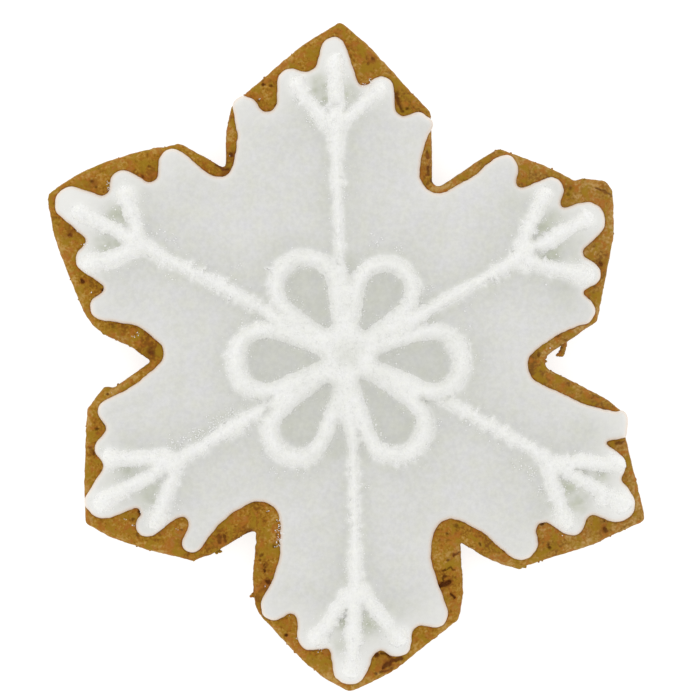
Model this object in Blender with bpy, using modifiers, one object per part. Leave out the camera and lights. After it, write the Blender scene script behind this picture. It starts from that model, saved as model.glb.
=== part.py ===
"""An iced gingerbread cookie in the shape of a six-armed snowflake.

A Blender 4.5 script in metres, with +Z up. The cookie lies flat on its base, iced side up, with its
top arm along +Y. The origin is on the base, under the middle of the outline's box.

The tables are in millimetres, in each arm's own frame: "along" runs from the hub to the arm's tip,
and "left" runs square to it, to the left of someone who looks from the hub to the tip. The arms and
all outlines run counter-clockwise, so an arm's right side comes before its left side.
"""

import cmath
import math
from typing import NamedTuple

import bmesh
import bpy

MM = 0.001

HUB = complex(0.14, -0.04)
DOUGH_THICKNESS = 6.0
DOUGH_RIM = 0.6
ICING_THICKNESS = 1.5
ICING_RIM = 0.8
TOUCHING_GAP = 0.3
RIM_SEGMENTS = 3
ARC_STEP = math.radians(26)
SMOOTH_ANGLE = math.radians(35)
# Points nearer to each other than this are one point.
WELD = 0.002
# Heights closer than this are one height.
LEVEL = 0.01
# A face is flat if its normal is this upright.
UPRIGHT = 0.9

PETAL_NEAR_RADIUS = 1.25
PETAL_FAR_RADIUS = 1.55
RAY_SUNK = 0.4
TWIG_SUNK = 0.45
PETAL_SUNK = 0.35
TWIG_STEPS = 3
PETAL_INNER_BEND = 2.2
ROUND_END = (0.0, 0.5, 0.8, 0.97)
HUB_MOUND_RADIUS = 3.4
HUB_MOUND_HEIGHT = 1.2
HUB_MOUND_SEGMENTS = 20
HUB_MOUND_RINGS = 8
TUBE_BEVEL_STEPS = 2
CUTTER_WIDTH = 120.0
CUTTER_DEPTH = 10.0

ICING_BASE = DOUGH_THICKNESS + TOUCHING_GAP
PIPING_BASE = ICING_BASE + ICING_THICKNESS + TOUCHING_GAP

DOUGH_COLOUR = (0.33, 0.165, 0.025)
ICING_COLOUR = (0.68, 0.69, 0.66)
PIPING_COLOUR = (0.86, 0.86, 0.83)


class Arm(NamedTuple):
    """One arm of the snowflake, from the notch on its right to the end of its left side."""

    name: str
    # Degrees counter-clockwise from +X.
    angle: float
    # Corners (along, left, fillet radius) of the dough. The first is the notch.
    dough: tuple
    # Circles (along, left, radius) that the icing's edge runs round: a radius above 0 is a lobe,
    # and one below 0 is a hollow between lobes. The first is the notch.
    icing: tuple
    # Points (along, left, line radius) of the piped ray. The last two are the fork and the tip.
    ray: tuple
    # Ends (along, left) of the two twigs that leave the fork, how far (bow) each bends outwards, and
    # its line's radius.
    twigs: tuple


ARMS = (
    Arm(
        name="top",
        angle=91.0,
        dough=(
            (26.2, -14.1, 1.1),
            (38.8, -14.1, 2.0),
            (49.4, -4.7, 12.0),
            (53.7, 0.15, 0.8),
            (49.4, 7.1, 20.0),
            (42.2, 15.8, 1.2),
            (40.4, 17.8, 1.2),
            (36.0, 18.7, 6.0),
        ),
        icing=(
            (28.7, -15.0, -2.8),
            (30.4, -17.2, -5.1),
            (37.0, -12.0, 1.95),
            (39.8, -9.75, -1.45),
            (42.7, -6.15, 2.1),
            (44.3, -3.4, -1.0),
            (49.3, 1.3, 2.0),
            (48.0, 5.9, -2.25),
            (44.3, 8.35, 1.95),
            (40.9, 12.0, -1.5),
            (39.95, 15.5, 1.9),
            (35.2, 21.9, -5.1),
        ),
        ray=((10.8, 0.9, 0.8), (20.0, 0.95, 0.95), (30.0, 1.15, 1.15), (36.6, 1.05, 1.55), (48.3, 0.95, 1.15)),
        twigs=((44.8, 7.8, 0.6, 1.15), (43.4, -6.6, 0.0, 1.1)),
    ),
    Arm(
        name="upper_left",
        angle=151.5,
        dough=(
            (31.2, -17.1, 0.6),
            (36.0, -17.25, 10.0),
            (39.6, -17.3, 1.2),
            (42.9, -14.8, 4.0),
            (47.5, -10.6, 20.0),
            (51.9, -5.2, 10.0),
            (54.6, 0.0, 0.8),
            (50.0, 5.8, 12.0),
            (45.0, 10.1, 15.0),
            (40.3, 13.8, 3.0),
            (38.2, 14.9, 3.0),
            (36.0, 15.35, 1.0),
            (31.5, 14.95, 8.0),
        ),
        icing=(
            (32.9, -17.5, -2.4),
            (39.3, -13.95, 2.3),
            (41.7, -10.7, -1.4),
            (44.7, -7.3, 2.2),
            (47.2, -5.0, -1.1),
            (50.3, -0.55, 2.75),
            (46.55, 4.15, -1.2),
            (43.7, 6.0, 2.1),
            (40.15, 9.15, -0.9),
            (38.15, 11.6, 2.05),
            (31.3, 16.65, -5.1),
        ),
        ray=((12.5, -0.35, 1.0), (25.5, -0.4, 1.15), (31.0, -0.15, 1.2), (37.4, -0.2, 1.45), (49.7, 0.05, 1.0)),
        twigs=((44.2, 7.0, 0.7, 1.4), (44.5, -6.8, 0.0, 1.25)),
    ),
    Arm(
        name="lower_left",
        angle=212.0,
        dough=(
            (26.7, -15.95, 0.5),
            (34.2, -15.6, 1.0),
            (35.4, -16.5, 0.8),
            (39.7, -14.9, 0.9),
            (46.0, -5.7, 20.0),
            (49.5, 0.3, 0.9),
            (47.2, 4.5, 8.0),
            (43.5, 9.1, 10.0),
            (38.2, 14.5, 0.9),
            (34.0, 15.5, 6.0),
            (30.0, 15.2, 10.0),
        ),
        icing=(
            (26.7, -17.4, -2.6),
            (31.6, -22.2, -8.1),
            (36.6, -12.6, 2.1),
            (39.3, -11.2, -0.8),
            (40.5, -8.05, 1.75),
            (43.0, -6.5, -1.0),
            (45.2, -1.1, 2.8),
            (41.75, 3.25, -0.85),
            (41.35, 5.9, 1.8),
            (36.65, 8.7, -1.35),
            (36.65, 11.95, 1.65),
            (29.0, 18.4, -7.1),
        ),
        ray=((12.5, 0.1, 0.95), (22.0, -0.25, 1.15), (31.4, -0.3, 1.3), (46.6, -1.2, 1.2)),
        twigs=((40.2, 6.5, 0.0, 1.3), (41.3, -6.9, 0.0, 1.45)),
    ),
    Arm(
        name="bottom",
        angle=270.0,
        dough=(
            (27.4, -14.4, 0.6),
            (36.5, -15.1, 10.0),
            (40.3, -14.5, 1.5),
            (42.6, -12.6, 3.0),
            (50.2, -5.5, 15.0),
            (53.6, 0.4, 1.3),
            (50.2, 7.3, 8.0),
            (48.8, 9.2, 2.0),
            (42.0, 17.8, 1.2),
            (38.2, 18.5, 3.0),
        ),
        icing=(
            (26.3, -14.0, -3.4),
            (30.0, -22.6, -12.1),
            (39.85, -11.5, 2.2),
            (42.1, -9.0, -1.1),
            (44.75, -5.75, 2.1),
            (47.4, -3.4, -0.9),
            (49.7, 0.5, 2.7),
            (48.1, 5.4, -1.3),
            (45.75, 8.15, 2.2),
            (44.4, 11.9, -1.5),
            (41.05, 14.0, 2.2),
            (31.5, 20.4, -7.1),
        ),
        ray=((10.5, 1.0, 0.9), (20.0, 1.1, 0.95), (30.0, 1.35, 1.05), (36.5, 1.4, 1.45), (51.1, 0.75, 1.1)),
        twigs=((45.7, 8.9, 0.0, 1.3), (45.6, -5.3, 0.0, 1.3)),
    ),
    Arm(
        name="lower_right",
        angle=331.5,
        dough=(
            (30.0, -17.3, 0.2),
            (36.0, -17.5, 8.0),
            (40.4, -16.8, 1.5),
            (41.6, -15.2, 1.0),
            (48.6, -7.8, 20.0),
            (54.4, -0.15, 0.9),
            (50.4, 4.4, 2.0),
            (44.9, 10.35, 0.6),
            (43.85, 12.85, 0.7),
            (42.6, 13.4, 1.5),
            (40.0, 13.95, 5.0),
        ),
        icing=(
            (28.45, -17.3, -2.95),
            (30.8, -21.1, -7.1),
            (38.55, -12.75, 2.8),
            (41.0, -9.3, -1.4),
            (44.3, -6.2, 2.0),
            (47.2, -4.3, -1.1),
            (49.1, 0.0, 2.95),
            (48.45, 4.1, -0.8),
            (45.45, 5.1, 2.2),
            (43.3, 7.9, -0.45),
            (44.0, 10.1, 0.9),
            (43.0, 12.0, 1.1),
            (36.0, 17.5, -6.1),
        ),
        ray=((12.3, 1.35, 0.95), (25.0, 1.45, 1.15), (31.5, 1.15, 1.1), (36.4, 0.85, 1.3), (50.9, 0.5, 1.0)),
        twigs=((47.2, 5.9, 0.0, 1.1), (43.9, -6.8, 0.5, 1.35)),
    ),
    Arm(
        name="upper_right",
        angle=31.5,
        dough=(
            (25.3, -16.6, 1.5),
            (37.2, -15.9, 1.3),
            (47.0, -5.2, 10.0),
            (50.15, 0.5, 0.8),
            (50.0, 2.4, 1.2),
            (47.0, 4.7, 1.5),
            (45.8, 4.9, 0.6),
            (44.0, 8.3, 6.0),
            (38.1, 15.8, 0.9),
            (35.0, 15.8, 10.0),
        ),
        icing=(
            (26.4, -17.75, -2.95),
            (31.5, -22.65, -8.1),
            (35.9, -13.3, 2.15),
            (38.2, -11.3, -0.75),
            (39.8, -8.7, 2.1),
            (42.0, -6.0, -1.2),
            (44.1, -1.45, 2.95),
            (42.4, 2.75, -0.65),
            (41.8, 5.65, 2.05),
            (38.7, 9.3, -1.1),
            (37.2, 12.5, 2.3),
            (31.8, 21.1, -7.1),
        ),
        ray=((11.8, -0.35, 1.0), (20.0, -0.45, 1.1), (26.5, -0.75, 1.1), (31.9, -0.7, 1.6), (45.3, -1.25, 1.0)),
        twigs=((41.4, 6.1, 0.1, 1.2), (40.2, -9.4, 0.4, 1.3)),
    ),
)


class Petal(NamedTuple):
    """One piped loop of the rosette. Its line is a belt round a small circle and a large one."""

    # Degrees counter-clockwise from +X.
    angle: float
    # How far from the hub the small circle's centre is, and the far end of the line.
    start: float
    reach: float
    # The large circle's radius.
    half_width: float


PETALS = (
    Petal(60.0, 5.8, 16.7, 4.5),
    Petal(120.4, 6.4, 17.8, 4.8),
    Petal(182.4, 4.7, 18.0, 5.0),
    Petal(236.2, 5.6, 18.6, 4.3),
    Petal(305.6, 4.7, 18.3, 4.75),
    Petal(357.0, 5.9, 18.6, 4.85),
)


def in_arm(arm, along, left):
    """The plan point x + yj in mm of a place given in the arm's own frame."""
    return HUB + complex(along, left) * cmath.rect(1.0, math.radians(arm.angle))


def neighbours(items):
    """Each item of a closed ring with the one before it and the one after it."""
    return zip(items[-1:] + items[:-1], items, items[1:] + items[:1])


def arc(centre, start, turn):
    """Points from start, turned about centre by the signed angle, ends included."""
    steps = max(1, math.ceil(abs(turn) / ARC_STEP))
    return [centre + (start - centre) * cmath.rect(1.0, turn * step / steps) for step in range(steps + 1)]


def filleted_outline(corners):
    """A closed outline through the corners (point, radius), each rounded by an arc."""
    outline = []
    for (before, _), (here, radius), (after, _) in neighbours(corners):
        arrive = (here - before) / abs(here - before)
        leave = (after - here) / abs(after - here)
        turn = cmath.phase(leave / arrive)
        start = here - arrive * radius * math.tan(abs(turn) / 2)
        centre = start + arrive * 1j * math.copysign(radius, turn)
        outline += arc(centre, start, turn)
    return outline


def common_tangent(circle, following):
    """The direction of the line that leaves one circle and meets the next, as a belt does."""
    span = following[0] - circle[0]
    rise = following[1] - circle[1]
    return span / complex(math.sqrt(abs(span) ** 2 - rise**2), rise)


def belt_outline(circles):
    """A closed outline stretched round circles (centre, radius), inside those of a negative radius."""
    outline = []
    for before, here, after in neighbours(circles):
        centre, radius = here
        arrive = common_tangent(before, here)
        turn = cmath.phase(common_tangent(here, after) / arrive)
        if turn * radius < 0:
            turn += math.copysign(math.tau, radius)
        outline += arc(centre, centre - arrive * 1j * radius, turn)
    return outline


def dough_outline():
    return filleted_outline(
        [(in_arm(arm, along, left), radius) for arm in ARMS for along, left, radius in arm.dough]
    )


def icing_outline():
    return belt_outline(
        [(in_arm(arm, along, left), radius) for arm in ARMS for along, left, radius in arm.icing]
    )


def plain_material(name, colour, roughness):
    material = bpy.data.materials.new(name)
    material.use_nodes = True
    shader = material.node_tree.nodes["Principled BSDF"]
    shader.inputs["Base Color"].default_value = (*colour, 1.0)
    shader.inputs["Roughness"].default_value = roughness
    shader.inputs["Metallic"].default_value = 0.0
    return material


def collection_named(name):
    collection = bpy.data.collections.new(name)
    bpy.context.scene.collection.children.link(collection)
    return collection


def object_in(collection, name, data):
    made = bpy.data.objects.new(name, data)
    collection.objects.link(made)
    return made


def move_to(collection, made):
    """Takes an object that an operator added out of its collection and into this one."""
    for owner in made.users_collection:
        owner.objects.unlink(made)
    collection.objects.link(made)


def mesh_of(curve_object):
    """The curve as a mesh with its caps welded on. The curve object is removed."""
    bpy.context.view_layer.update()
    evaluated = curve_object.evaluated_get(bpy.context.evaluated_depsgraph_get())
    mesh = bpy.data.meshes.new_from_object(evaluated)
    bpy.data.objects.remove(curve_object)
    shape = bmesh.new()
    shape.from_mesh(mesh)
    bmesh.ops.remove_doubles(shape, verts=shape.verts, dist=WELD * MM)
    bmesh.ops.recalc_face_normals(shape, faces=shape.faces)
    shape.to_mesh(mesh)
    shape.free()
    return mesh


def weigh_top_rim(mesh, top):
    """Joins each flat face into one polygon, and marks the edges round the top one for the bevel."""
    shape = bmesh.new()
    shape.from_mesh(mesh)
    inner = [edge for edge in shape.edges if all(abs(face.normal.z) > UPRIGHT for face in edge.link_faces)]
    bmesh.ops.dissolve_edges(shape, edges=inner, use_verts=False)
    weight = shape.edges.layers.float.new("bevel_weight_edge")
    for edge in shape.edges:
        if all(abs(vert.co.z - top) < LEVEL * MM for vert in edge.verts):
            edge[weight] = 1.0
    shape.to_mesh(mesh)
    shape.free()


def slab(collection, name, outline, base, thickness, rim, material):
    """A flat slab of the outline, standing on the height base, with a rounded top rim."""
    curve = bpy.data.curves.new(name, "CURVE")
    curve.dimensions = "2D"
    curve.fill_mode = "BOTH"
    curve.extrude = thickness / 2 * MM
    spline = curve.splines.new("POLY")
    spline.points.add(len(outline) - 1)
    for point, place in zip(spline.points, outline):
        point.co = (place.real * MM, place.imag * MM, 0.0, 1.0)
    spline.use_cyclic_u = True
    mesh = mesh_of(object_in(collection, name, curve))
    weigh_top_rim(mesh, thickness / 2 * MM)
    made = object_in(collection, name, mesh)
    made.location.z = (base + thickness / 2) * MM
    bevel = made.modifiers.new("rounded rim", "BEVEL")
    bevel.limit_method = "WEIGHT"
    bevel.width = rim * MM
    bevel.segments = RIM_SEGMENTS
    bevel.use_clamp_overlap = False
    finish(made, material)
    return made


def finish(made, material):
    made.data.materials.clear()
    made.data.materials.append(material)
    made.data.shade_smooth()
    made.data.set_sharp_from_angle(angle=SMOOTH_ANGLE)


def rounded_end(tip, inner, radius):
    """Stations (point, radius) that close a piped line in a half ball, from its tip inwards."""
    inwards = (inner - tip) / abs(inner - tip)
    return [(tip + inwards * radius * (1 - s), radius * math.sqrt(1 - s * s)) for s in reversed(ROUND_END)]


def round_ended(stations):
    """The stations (point, radius) of a piped line, with its two ends made round."""
    (start, start_radius), (second, _) = stations[:2]
    (before_last, _), (last, last_radius) = stations[-2:]
    closing = rounded_end(last, before_last, last_radius)[::-1]
    return rounded_end(start, second, start_radius) + stations[1:-1] + closing


def tube(collection, name, stations, sunk, closed=False):
    """A tube through stations (point, radius), with its axis the height sunk above the piping's base."""
    curve = bpy.data.curves.new(name, "CURVE")
    curve.dimensions = "3D"
    curve.bevel_depth = MM
    curve.bevel_resolution = TUBE_BEVEL_STEPS
    curve.use_fill_caps = not closed
    spline = curve.splines.new("POLY")
    spline.points.add(len(stations) - 1)
    for point, (place, radius) in zip(spline.points, stations):
        point.co = (place.real * MM, place.imag * MM, (PIPING_BASE + sunk) * MM, 1.0)
        point.radius = radius
    spline.use_cyclic_u = closed
    return object_in(collection, name, mesh_of(object_in(collection, name, curve)))


def combine(target, others, operation):
    """Applies Booleans of the target with each of the others in turn, and removes the others."""
    for other in others:
        boolean = target.modifiers.new(operation.lower(), "BOOLEAN")
        boolean.operation = operation
        boolean.object = other
    bpy.context.view_layer.update()
    evaluated = target.evaluated_get(bpy.context.evaluated_depsgraph_get())
    mesh = bpy.data.meshes.new_from_object(evaluated)
    target.modifiers.clear()
    target.data = mesh
    for other in others:
        bpy.data.objects.remove(other)


def under_cutter(collection):
    """A block whose top is the height at which every piped line is cut flat."""
    bpy.ops.mesh.primitive_cube_add(size=1)
    cutter = bpy.context.object
    cutter.name = "under_piping"
    cutter.scale = (CUTTER_WIDTH * MM, CUTTER_WIDTH * MM, CUTTER_DEPTH * MM)
    cutter.location.z = (PIPING_BASE - CUTTER_DEPTH / 2) * MM
    move_to(collection, cutter)
    cutter.hide_render = True
    cutter.display_type = "WIRE"
    return cutter


def cut_flat(target, cutter):
    boolean = target.modifiers.new("flat underside", "BOOLEAN")
    boolean.operation = "DIFFERENCE"
    boolean.object = cutter


def petal_stations(petal, wider):
    """The closed line of one loop, from a small bend near the hub round a wide one far from it.

    The line is thinner near the hub. Its radius is made wider by the given amount."""
    outwards = cmath.rect(1.0, math.radians(petal.angle))
    near = HUB + outwards * petal.start
    far = HUB + outwards * (petal.reach - petal.half_width)
    stations = []
    for point in belt_outline([(near, PETAL_INNER_BEND), (far, petal.half_width)]):
        share = min(max(((point - near) / (far - near)).real, 0.0), 1.0)
        radius = PETAL_NEAR_RADIUS + (PETAL_FAR_RADIUS - PETAL_NEAR_RADIUS) * share
        stations.append((point, radius + wider))
    return stations


def rosette(collection, name, wider=0.0):
    """The six loops and the mound where they cross, joined as one mesh that is not yet cut flat."""
    loops = [
        tube(collection, "loop", petal_stations(petal, wider), PETAL_SUNK, closed=True)
        for petal in PETALS
    ]
    bpy.ops.mesh.primitive_uv_sphere_add(
        segments=HUB_MOUND_SEGMENTS, ring_count=HUB_MOUND_RINGS, radius=1.0
    )
    mound = bpy.context.object
    mound.name = name
    mound.location = (HUB.real * MM, HUB.imag * MM, PIPING_BASE * MM)
    mound.scale = (HUB_MOUND_RADIUS * MM, HUB_MOUND_RADIUS * MM, HUB_MOUND_HEIGHT * MM)
    move_to(collection, mound)
    combine(mound, loops, "UNION")
    return mound


def bowed(start, end, bow):
    """Points of a line from start to end that bends sideways by bow at its middle."""
    across = 1j * (end - start) / abs(end - start)
    fractions = [step / TWIG_STEPS for step in range(TWIG_STEPS + 1)]
    return [start + (end - start) * f + across * bow * math.sin(math.pi * f) for f in fractions]


def spray(collection, arm, clearance):
    """A ray with its fork and two twigs, cut back to the gap from the rosette."""
    name = "piping_" + arm.name
    ray = [(in_arm(arm, along, left), radius) for along, left, radius in arm.ray]
    fork = ray[-2][0]
    made = tube(collection, name, round_ended(ray), RAY_SUNK)
    twigs = []
    for (along, left, bow, radius), side in zip(arm.twigs, (1, -1)):
        line = bowed(fork, in_arm(arm, along, left), side * bow)
        stations = [(point, radius) for point in line]
        twigs.append(tube(collection, "twig", round_ended(stations), TWIG_SUNK))
    combine(made, twigs, "UNION")
    boolean = made.modifiers.new("clear of the rosette", "BOOLEAN")
    boolean.operation = "DIFFERENCE"
    boolean.object = clearance
    return made


def build():
    for existing in list(bpy.data.objects):
        bpy.data.objects.remove(existing)
    cookie = collection_named("gingerbread_cookie")
    cutters = collection_named("cutters")
    dough = plain_material("gingerbread", DOUGH_COLOUR, 0.8)
    flood = plain_material("royal_icing", ICING_COLOUR, 0.4)
    piped = plain_material("piped_icing", PIPING_COLOUR, 0.7)

    slab(cookie, "gingerbread", dough_outline(), 0.0, DOUGH_THICKNESS, DOUGH_RIM, dough)
    slab(cookie, "icing", icing_outline(), ICING_BASE, ICING_THICKNESS, ICING_RIM, flood)

    under = under_cutter(cutters)
    clearance = rosette(cutters, "rosette_clearance", TOUCHING_GAP)
    clearance.hide_render = True
    clearance.display_type = "WIRE"
    centre = rosette(cookie, "piping_rosette")
    cut_flat(centre, under)
    finish(centre, piped)
    for arm in ARMS:
        made = spray(cookie, arm, clearance)
        cut_flat(made, under)
        finish(made, piped)


build()
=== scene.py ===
"""The looks of an iced gingerbread snowflake cookie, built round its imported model.

Lengths are in millimetres until a mesh is made. The places of details are given in each arm's own
frame: "along" runs from the hub to the arm's tip, and "left" runs square to it, to the left of
someone who looks from the hub to the tip.
"""

import itertools
import math

import bmesh
import bpy
import numpy as np
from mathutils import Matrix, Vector
from mathutils.geometry import delaunay_2d_cdt
from mathutils.kdtree import KDTree


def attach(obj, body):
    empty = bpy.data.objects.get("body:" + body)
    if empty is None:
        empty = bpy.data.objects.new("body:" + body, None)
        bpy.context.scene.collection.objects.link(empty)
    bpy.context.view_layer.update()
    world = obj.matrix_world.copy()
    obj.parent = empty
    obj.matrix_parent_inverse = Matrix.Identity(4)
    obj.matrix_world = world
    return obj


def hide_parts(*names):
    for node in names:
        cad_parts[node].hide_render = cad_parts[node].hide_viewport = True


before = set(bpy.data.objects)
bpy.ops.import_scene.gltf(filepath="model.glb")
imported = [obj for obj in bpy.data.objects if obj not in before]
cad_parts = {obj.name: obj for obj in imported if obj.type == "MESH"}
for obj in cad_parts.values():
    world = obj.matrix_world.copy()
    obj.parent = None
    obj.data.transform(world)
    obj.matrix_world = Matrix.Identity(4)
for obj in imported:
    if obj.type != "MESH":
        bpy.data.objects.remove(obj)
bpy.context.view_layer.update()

MM = 0.001
HUB = np.array([0.14, -0.04])
# Degrees counter-clockwise from +X.
ARM_ANGLES = {
    "top": 91.0,
    "upper_left": 151.5,
    "lower_left": 212.0,
    "bottom": 270.0,
    "lower_right": 331.5,
    "upper_right": 31.5,
}
PIPING_NODES = ["piping_rosette"] + ["piping_" + name for name in ARM_ANGLES]


# ---------------------------------------------------------------- heights

DOUGH_TOP = 6.0
RIM_DROP = 0.85
RIM_WIDTH = 1.0
FOOT_SUNK = 0.25
ICING_STEEP = 0.95
ICING_STEEP_WIDTH = 1.0
ICING_CROWN = 0.55
ICING_CROWN_WIDTH = 2.2


# ---------------------------------------------------------------- details of each arm

# For each arm, pits in the dough's top: along, left, radius, depth.
PITS = {
    "top": (
        (43.8, 12.5, 0.32, 0.45), (43.7, 11.4, 0.25, 0.35), (44.4, 12.7, 0.2, 0.3), (41.3, 13.5, 0.3, 0.3),
        (47.6, -4.9, 0.35, 0.3), (46.9, -4.2, 0.25, 0.25), (39.7, -10.3, 0.3, 0.35),
        (39.2, -9.5, 0.3, 0.35), (45.4, -7.6, 0.25, 0.25), (32.6, 18.0, 0.4, 0.4), (29.0, -13.4, 0.3, 0.3),
        (27.5, -13.7, 0.25, 0.25),
    ),
    "upper_left": (
        (43.1, 9.5, 0.42, 0.55), (48.2, 3.9, 0.38, 0.35), (47.9, 2.8, 0.28, 0.4), (49.2, -5.3, 0.38, 0.35),
        (48.4, -4.8, 0.3, 0.3), (42.6, -9.8, 0.25, 0.3), (42.3, -11.7, 0.22, 0.25), (39.4, 9.3, 0.4, 0.45),
        (35.4, 13.5, 0.3, 0.25), (28.4, 14.0, 0.5, 0.3), (49.4, -7.6, 0.25, 0.2),
    ),
    "lower_left": (
        (43.6, 6.3, 0.28, 0.3), (42.8, 4.0, 0.3, 0.3), (41.1, 3.3, 0.45, 0.5), (37.1, 9.4, 0.25, 0.25),
        (39.9, -11.4, 0.3, 0.35), (38.4, -11.5, 0.3, 0.35), (28.9, 19.0, 0.3, 0.3), (25.9, 19.5, 0.3, 0.3),
        (35.5, -15.2, 0.25, 0.35), (26.1, -17.1, 0.5, 0.4),
    ),
    "bottom": (
        (44.4, -9.7, 0.3, 0.55), (36.0, -12.7, 0.38, 0.5), (34.2, -13.2, 0.32, 0.45),
        (33.2, -13.2, 0.22, 0.3), (31.6, -13.7, 0.35, 0.3), (32.4, -13.9, 0.25, 0.25),
        (50.5, 4.6, 0.3, 0.35), (47.6, 4.9, 0.42, 0.5), (32.4, 16.2, 0.22, 0.3), (31.6, 17.1, 0.32, 0.35),
        (28.1, 16.0, 0.28, 0.3), (29.9, 21.4, 0.25, 0.3), (26.9, 17.2, 0.25, 0.2),
        (28.8, -20.4, 0.35, 0.35), (29.7, -11.0, 0.16, 0.3), (28.4, -11.1, 0.15, 0.3),
        (27.3, -10.9, 0.18, 0.3), (26.2, -11.2, 0.15, 0.25), (33.6, -12.9, 0.3, 0.3),
    ),
    "lower_right": (
        (49.5, -4.5, 0.35, 0.4), (48.8, -3.3, 0.22, 0.3), (43.0, -11.3, 0.3, 0.4), (42.7, -10.9, 0.22, 0.3),
        (40.1, -8.6, 0.35, 0.45), (33.1, -16.1, 0.22, 0.35), (29.6, -20.9, 0.25, 0.35),
        (27.5, -17.0, 0.25, 0.3), (28.3, -15.3, 0.3, 0.3), (33.3, 13.2, 0.3, 0.3), (26.8, 15.2, 0.35, 0.35),
        (37.6, 13.0, 0.3, 0.2),
    ),
    "upper_right": (
        (44.6, 4.3, 0.28, 0.25), (43.9, 3.7, 0.3, 0.25), (42.4, -8.5, 0.35, 0.35), (26.4, 17.0, 0.35, 0.4),
        (27.6, 19.7, 0.2, 0.25), (30.6, -14.9, 0.22, 0.25),
    ),
}
# For each arm, cracks in the dough's top: half width, depth, and points along and left.
CRACKS = {
    "top": ((0.3, 0.35, ((42.0, -8.7), (40.5, -9.0), (39.6, -9.4))),),
    "upper_left": ((0.25, 0.4, ((33.0, -17.1), (31.9, -17.0), (31.0, -17.4))),),
    "lower_left": (
        (0.3, 0.3, ((33.0, 14.3), (32.6, 13.3))), (0.24, 0.3, ((32.0, 14.6), (31.8, 13.8))),
        (0.26, 0.4, ((29.2, 15.9), (28.4, 15.4), (27.7, 15.5))), (0.2, 0.25, ((42.5, -8.3), (42.5, -9.6))),
    ),
    "bottom": (
        (0.34, 0.7, ((36.9, 14.7), (36.5, 15.2), (36.4, 15.7), (35.9, 16.4))),
        (0.16, 0.35, ((36.4, 15.6), (35.6, 15.3), (35.0, 15.7))),
        (0.24, 0.45, ((38.0, 16.7), (38.6, 17.1))),
        (0.34, 0.46, ((48.2, 8.7), (48.5, 7.9), (48.4, 7.2), (49.2, 6.6), (49.6, 5.9))),
        (0.22, 0.34, ((48.4, 7.2), (47.8, 6.6), (47.3, 5.6))),
        (0.24, 0.34, ((49.6, 7.3), (50.3, 6.3), (50.4, 5.4))),
        (0.11, 0.3, ((34.0, 17.3), (33.7, 16.2), (34.3, 15.2))),
    ),
    "lower_right": ((0.22, 0.35, ((30.7, -18.9), (30.2, -19.8))), (0.25, 0.3, ((45.2, 9.2), (44.4, 8.5)))),
    "upper_right": (
        (0.15, 0.14, ((46.6, 4.4), (47.3, 3.4), (48.1, 2.2))),
        (0.2, 0.34, ((48.1, 2.2), (48.9, 1.1), (49.8, -0.2))), (0.22, 0.32, ((28.2, 21.4), (27.7, 20.5))),
        (0.24, 0.36, ((27.0, 19.3), (26.4, 18.1))),
    ),
}
# For each arm, scorched red-brown stains: along, left, radius, strength.
STAINS = {
    "top": ((47.6, -4.7, 0.9, 0.7), (40.6, -9.0, 0.9, 0.9), (32.6, 18.0, 1.0, 0.8), (30.3, 19.4, 0.9, 0.8)),
    "upper_left": (
        (48.4, 3.4, 1.2, 0.7), (48.6, -5.0, 1.3, 0.7), (46.3, -5.2, 0.7, 0.9), (33.0, 14.0, 1.0, 0.5),
        (41.6, -10.4, 1.0, 0.6), (31.9, -19.3, 0.8, 0.6), (28.6, 14.1, 1.0, 0.5),
    ),
    "lower_left": (
        (38.2, 11.3, 0.8, 0.6), (32.6, 13.8, 1.0, 0.7), (42.5, -9.0, 0.8, 0.8), (41.3, 3.5, 0.7, 0.8),
        (29.4, 21.8, 1.1, 0.5), (28.3, 15.2, 0.9, 0.9),
    ),
    "bottom": (
        (49.0, 6.9, 1.6, 0.9), (36.4, 15.4, 1.3, 0.9), (38.4, 17.0, 0.7, 0.6), (36.3, -13.0, 0.9, 0.6),
        (31.8, 17.0, 0.7, 0.5), (28.8, -20.2, 0.9, 0.5), (27.7, -15.6, 0.7, 0.6),
    ),
    "lower_right": (
        (49.2, -4.6, 0.9, 0.7), (45.0, 9.0, 0.9, 0.8), (33.2, 13.2, 0.9, 0.6), (37.7, 12.9, 0.7, 0.5),
        (30.2, -19.6, 1.1, 0.4), (47.0, -6.4, 0.7, 0.4),
    ),
    "upper_right": (
        (44.4, 4.6, 0.8, 0.7), (42.5, -8.4, 0.9, 0.7), (49.2, 2.4, 1.1, 0.7), (27.1, 19.4, 1.3, 0.7),
        (39.7, 13.6, 0.5, 0.5),
    ),
}
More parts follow.
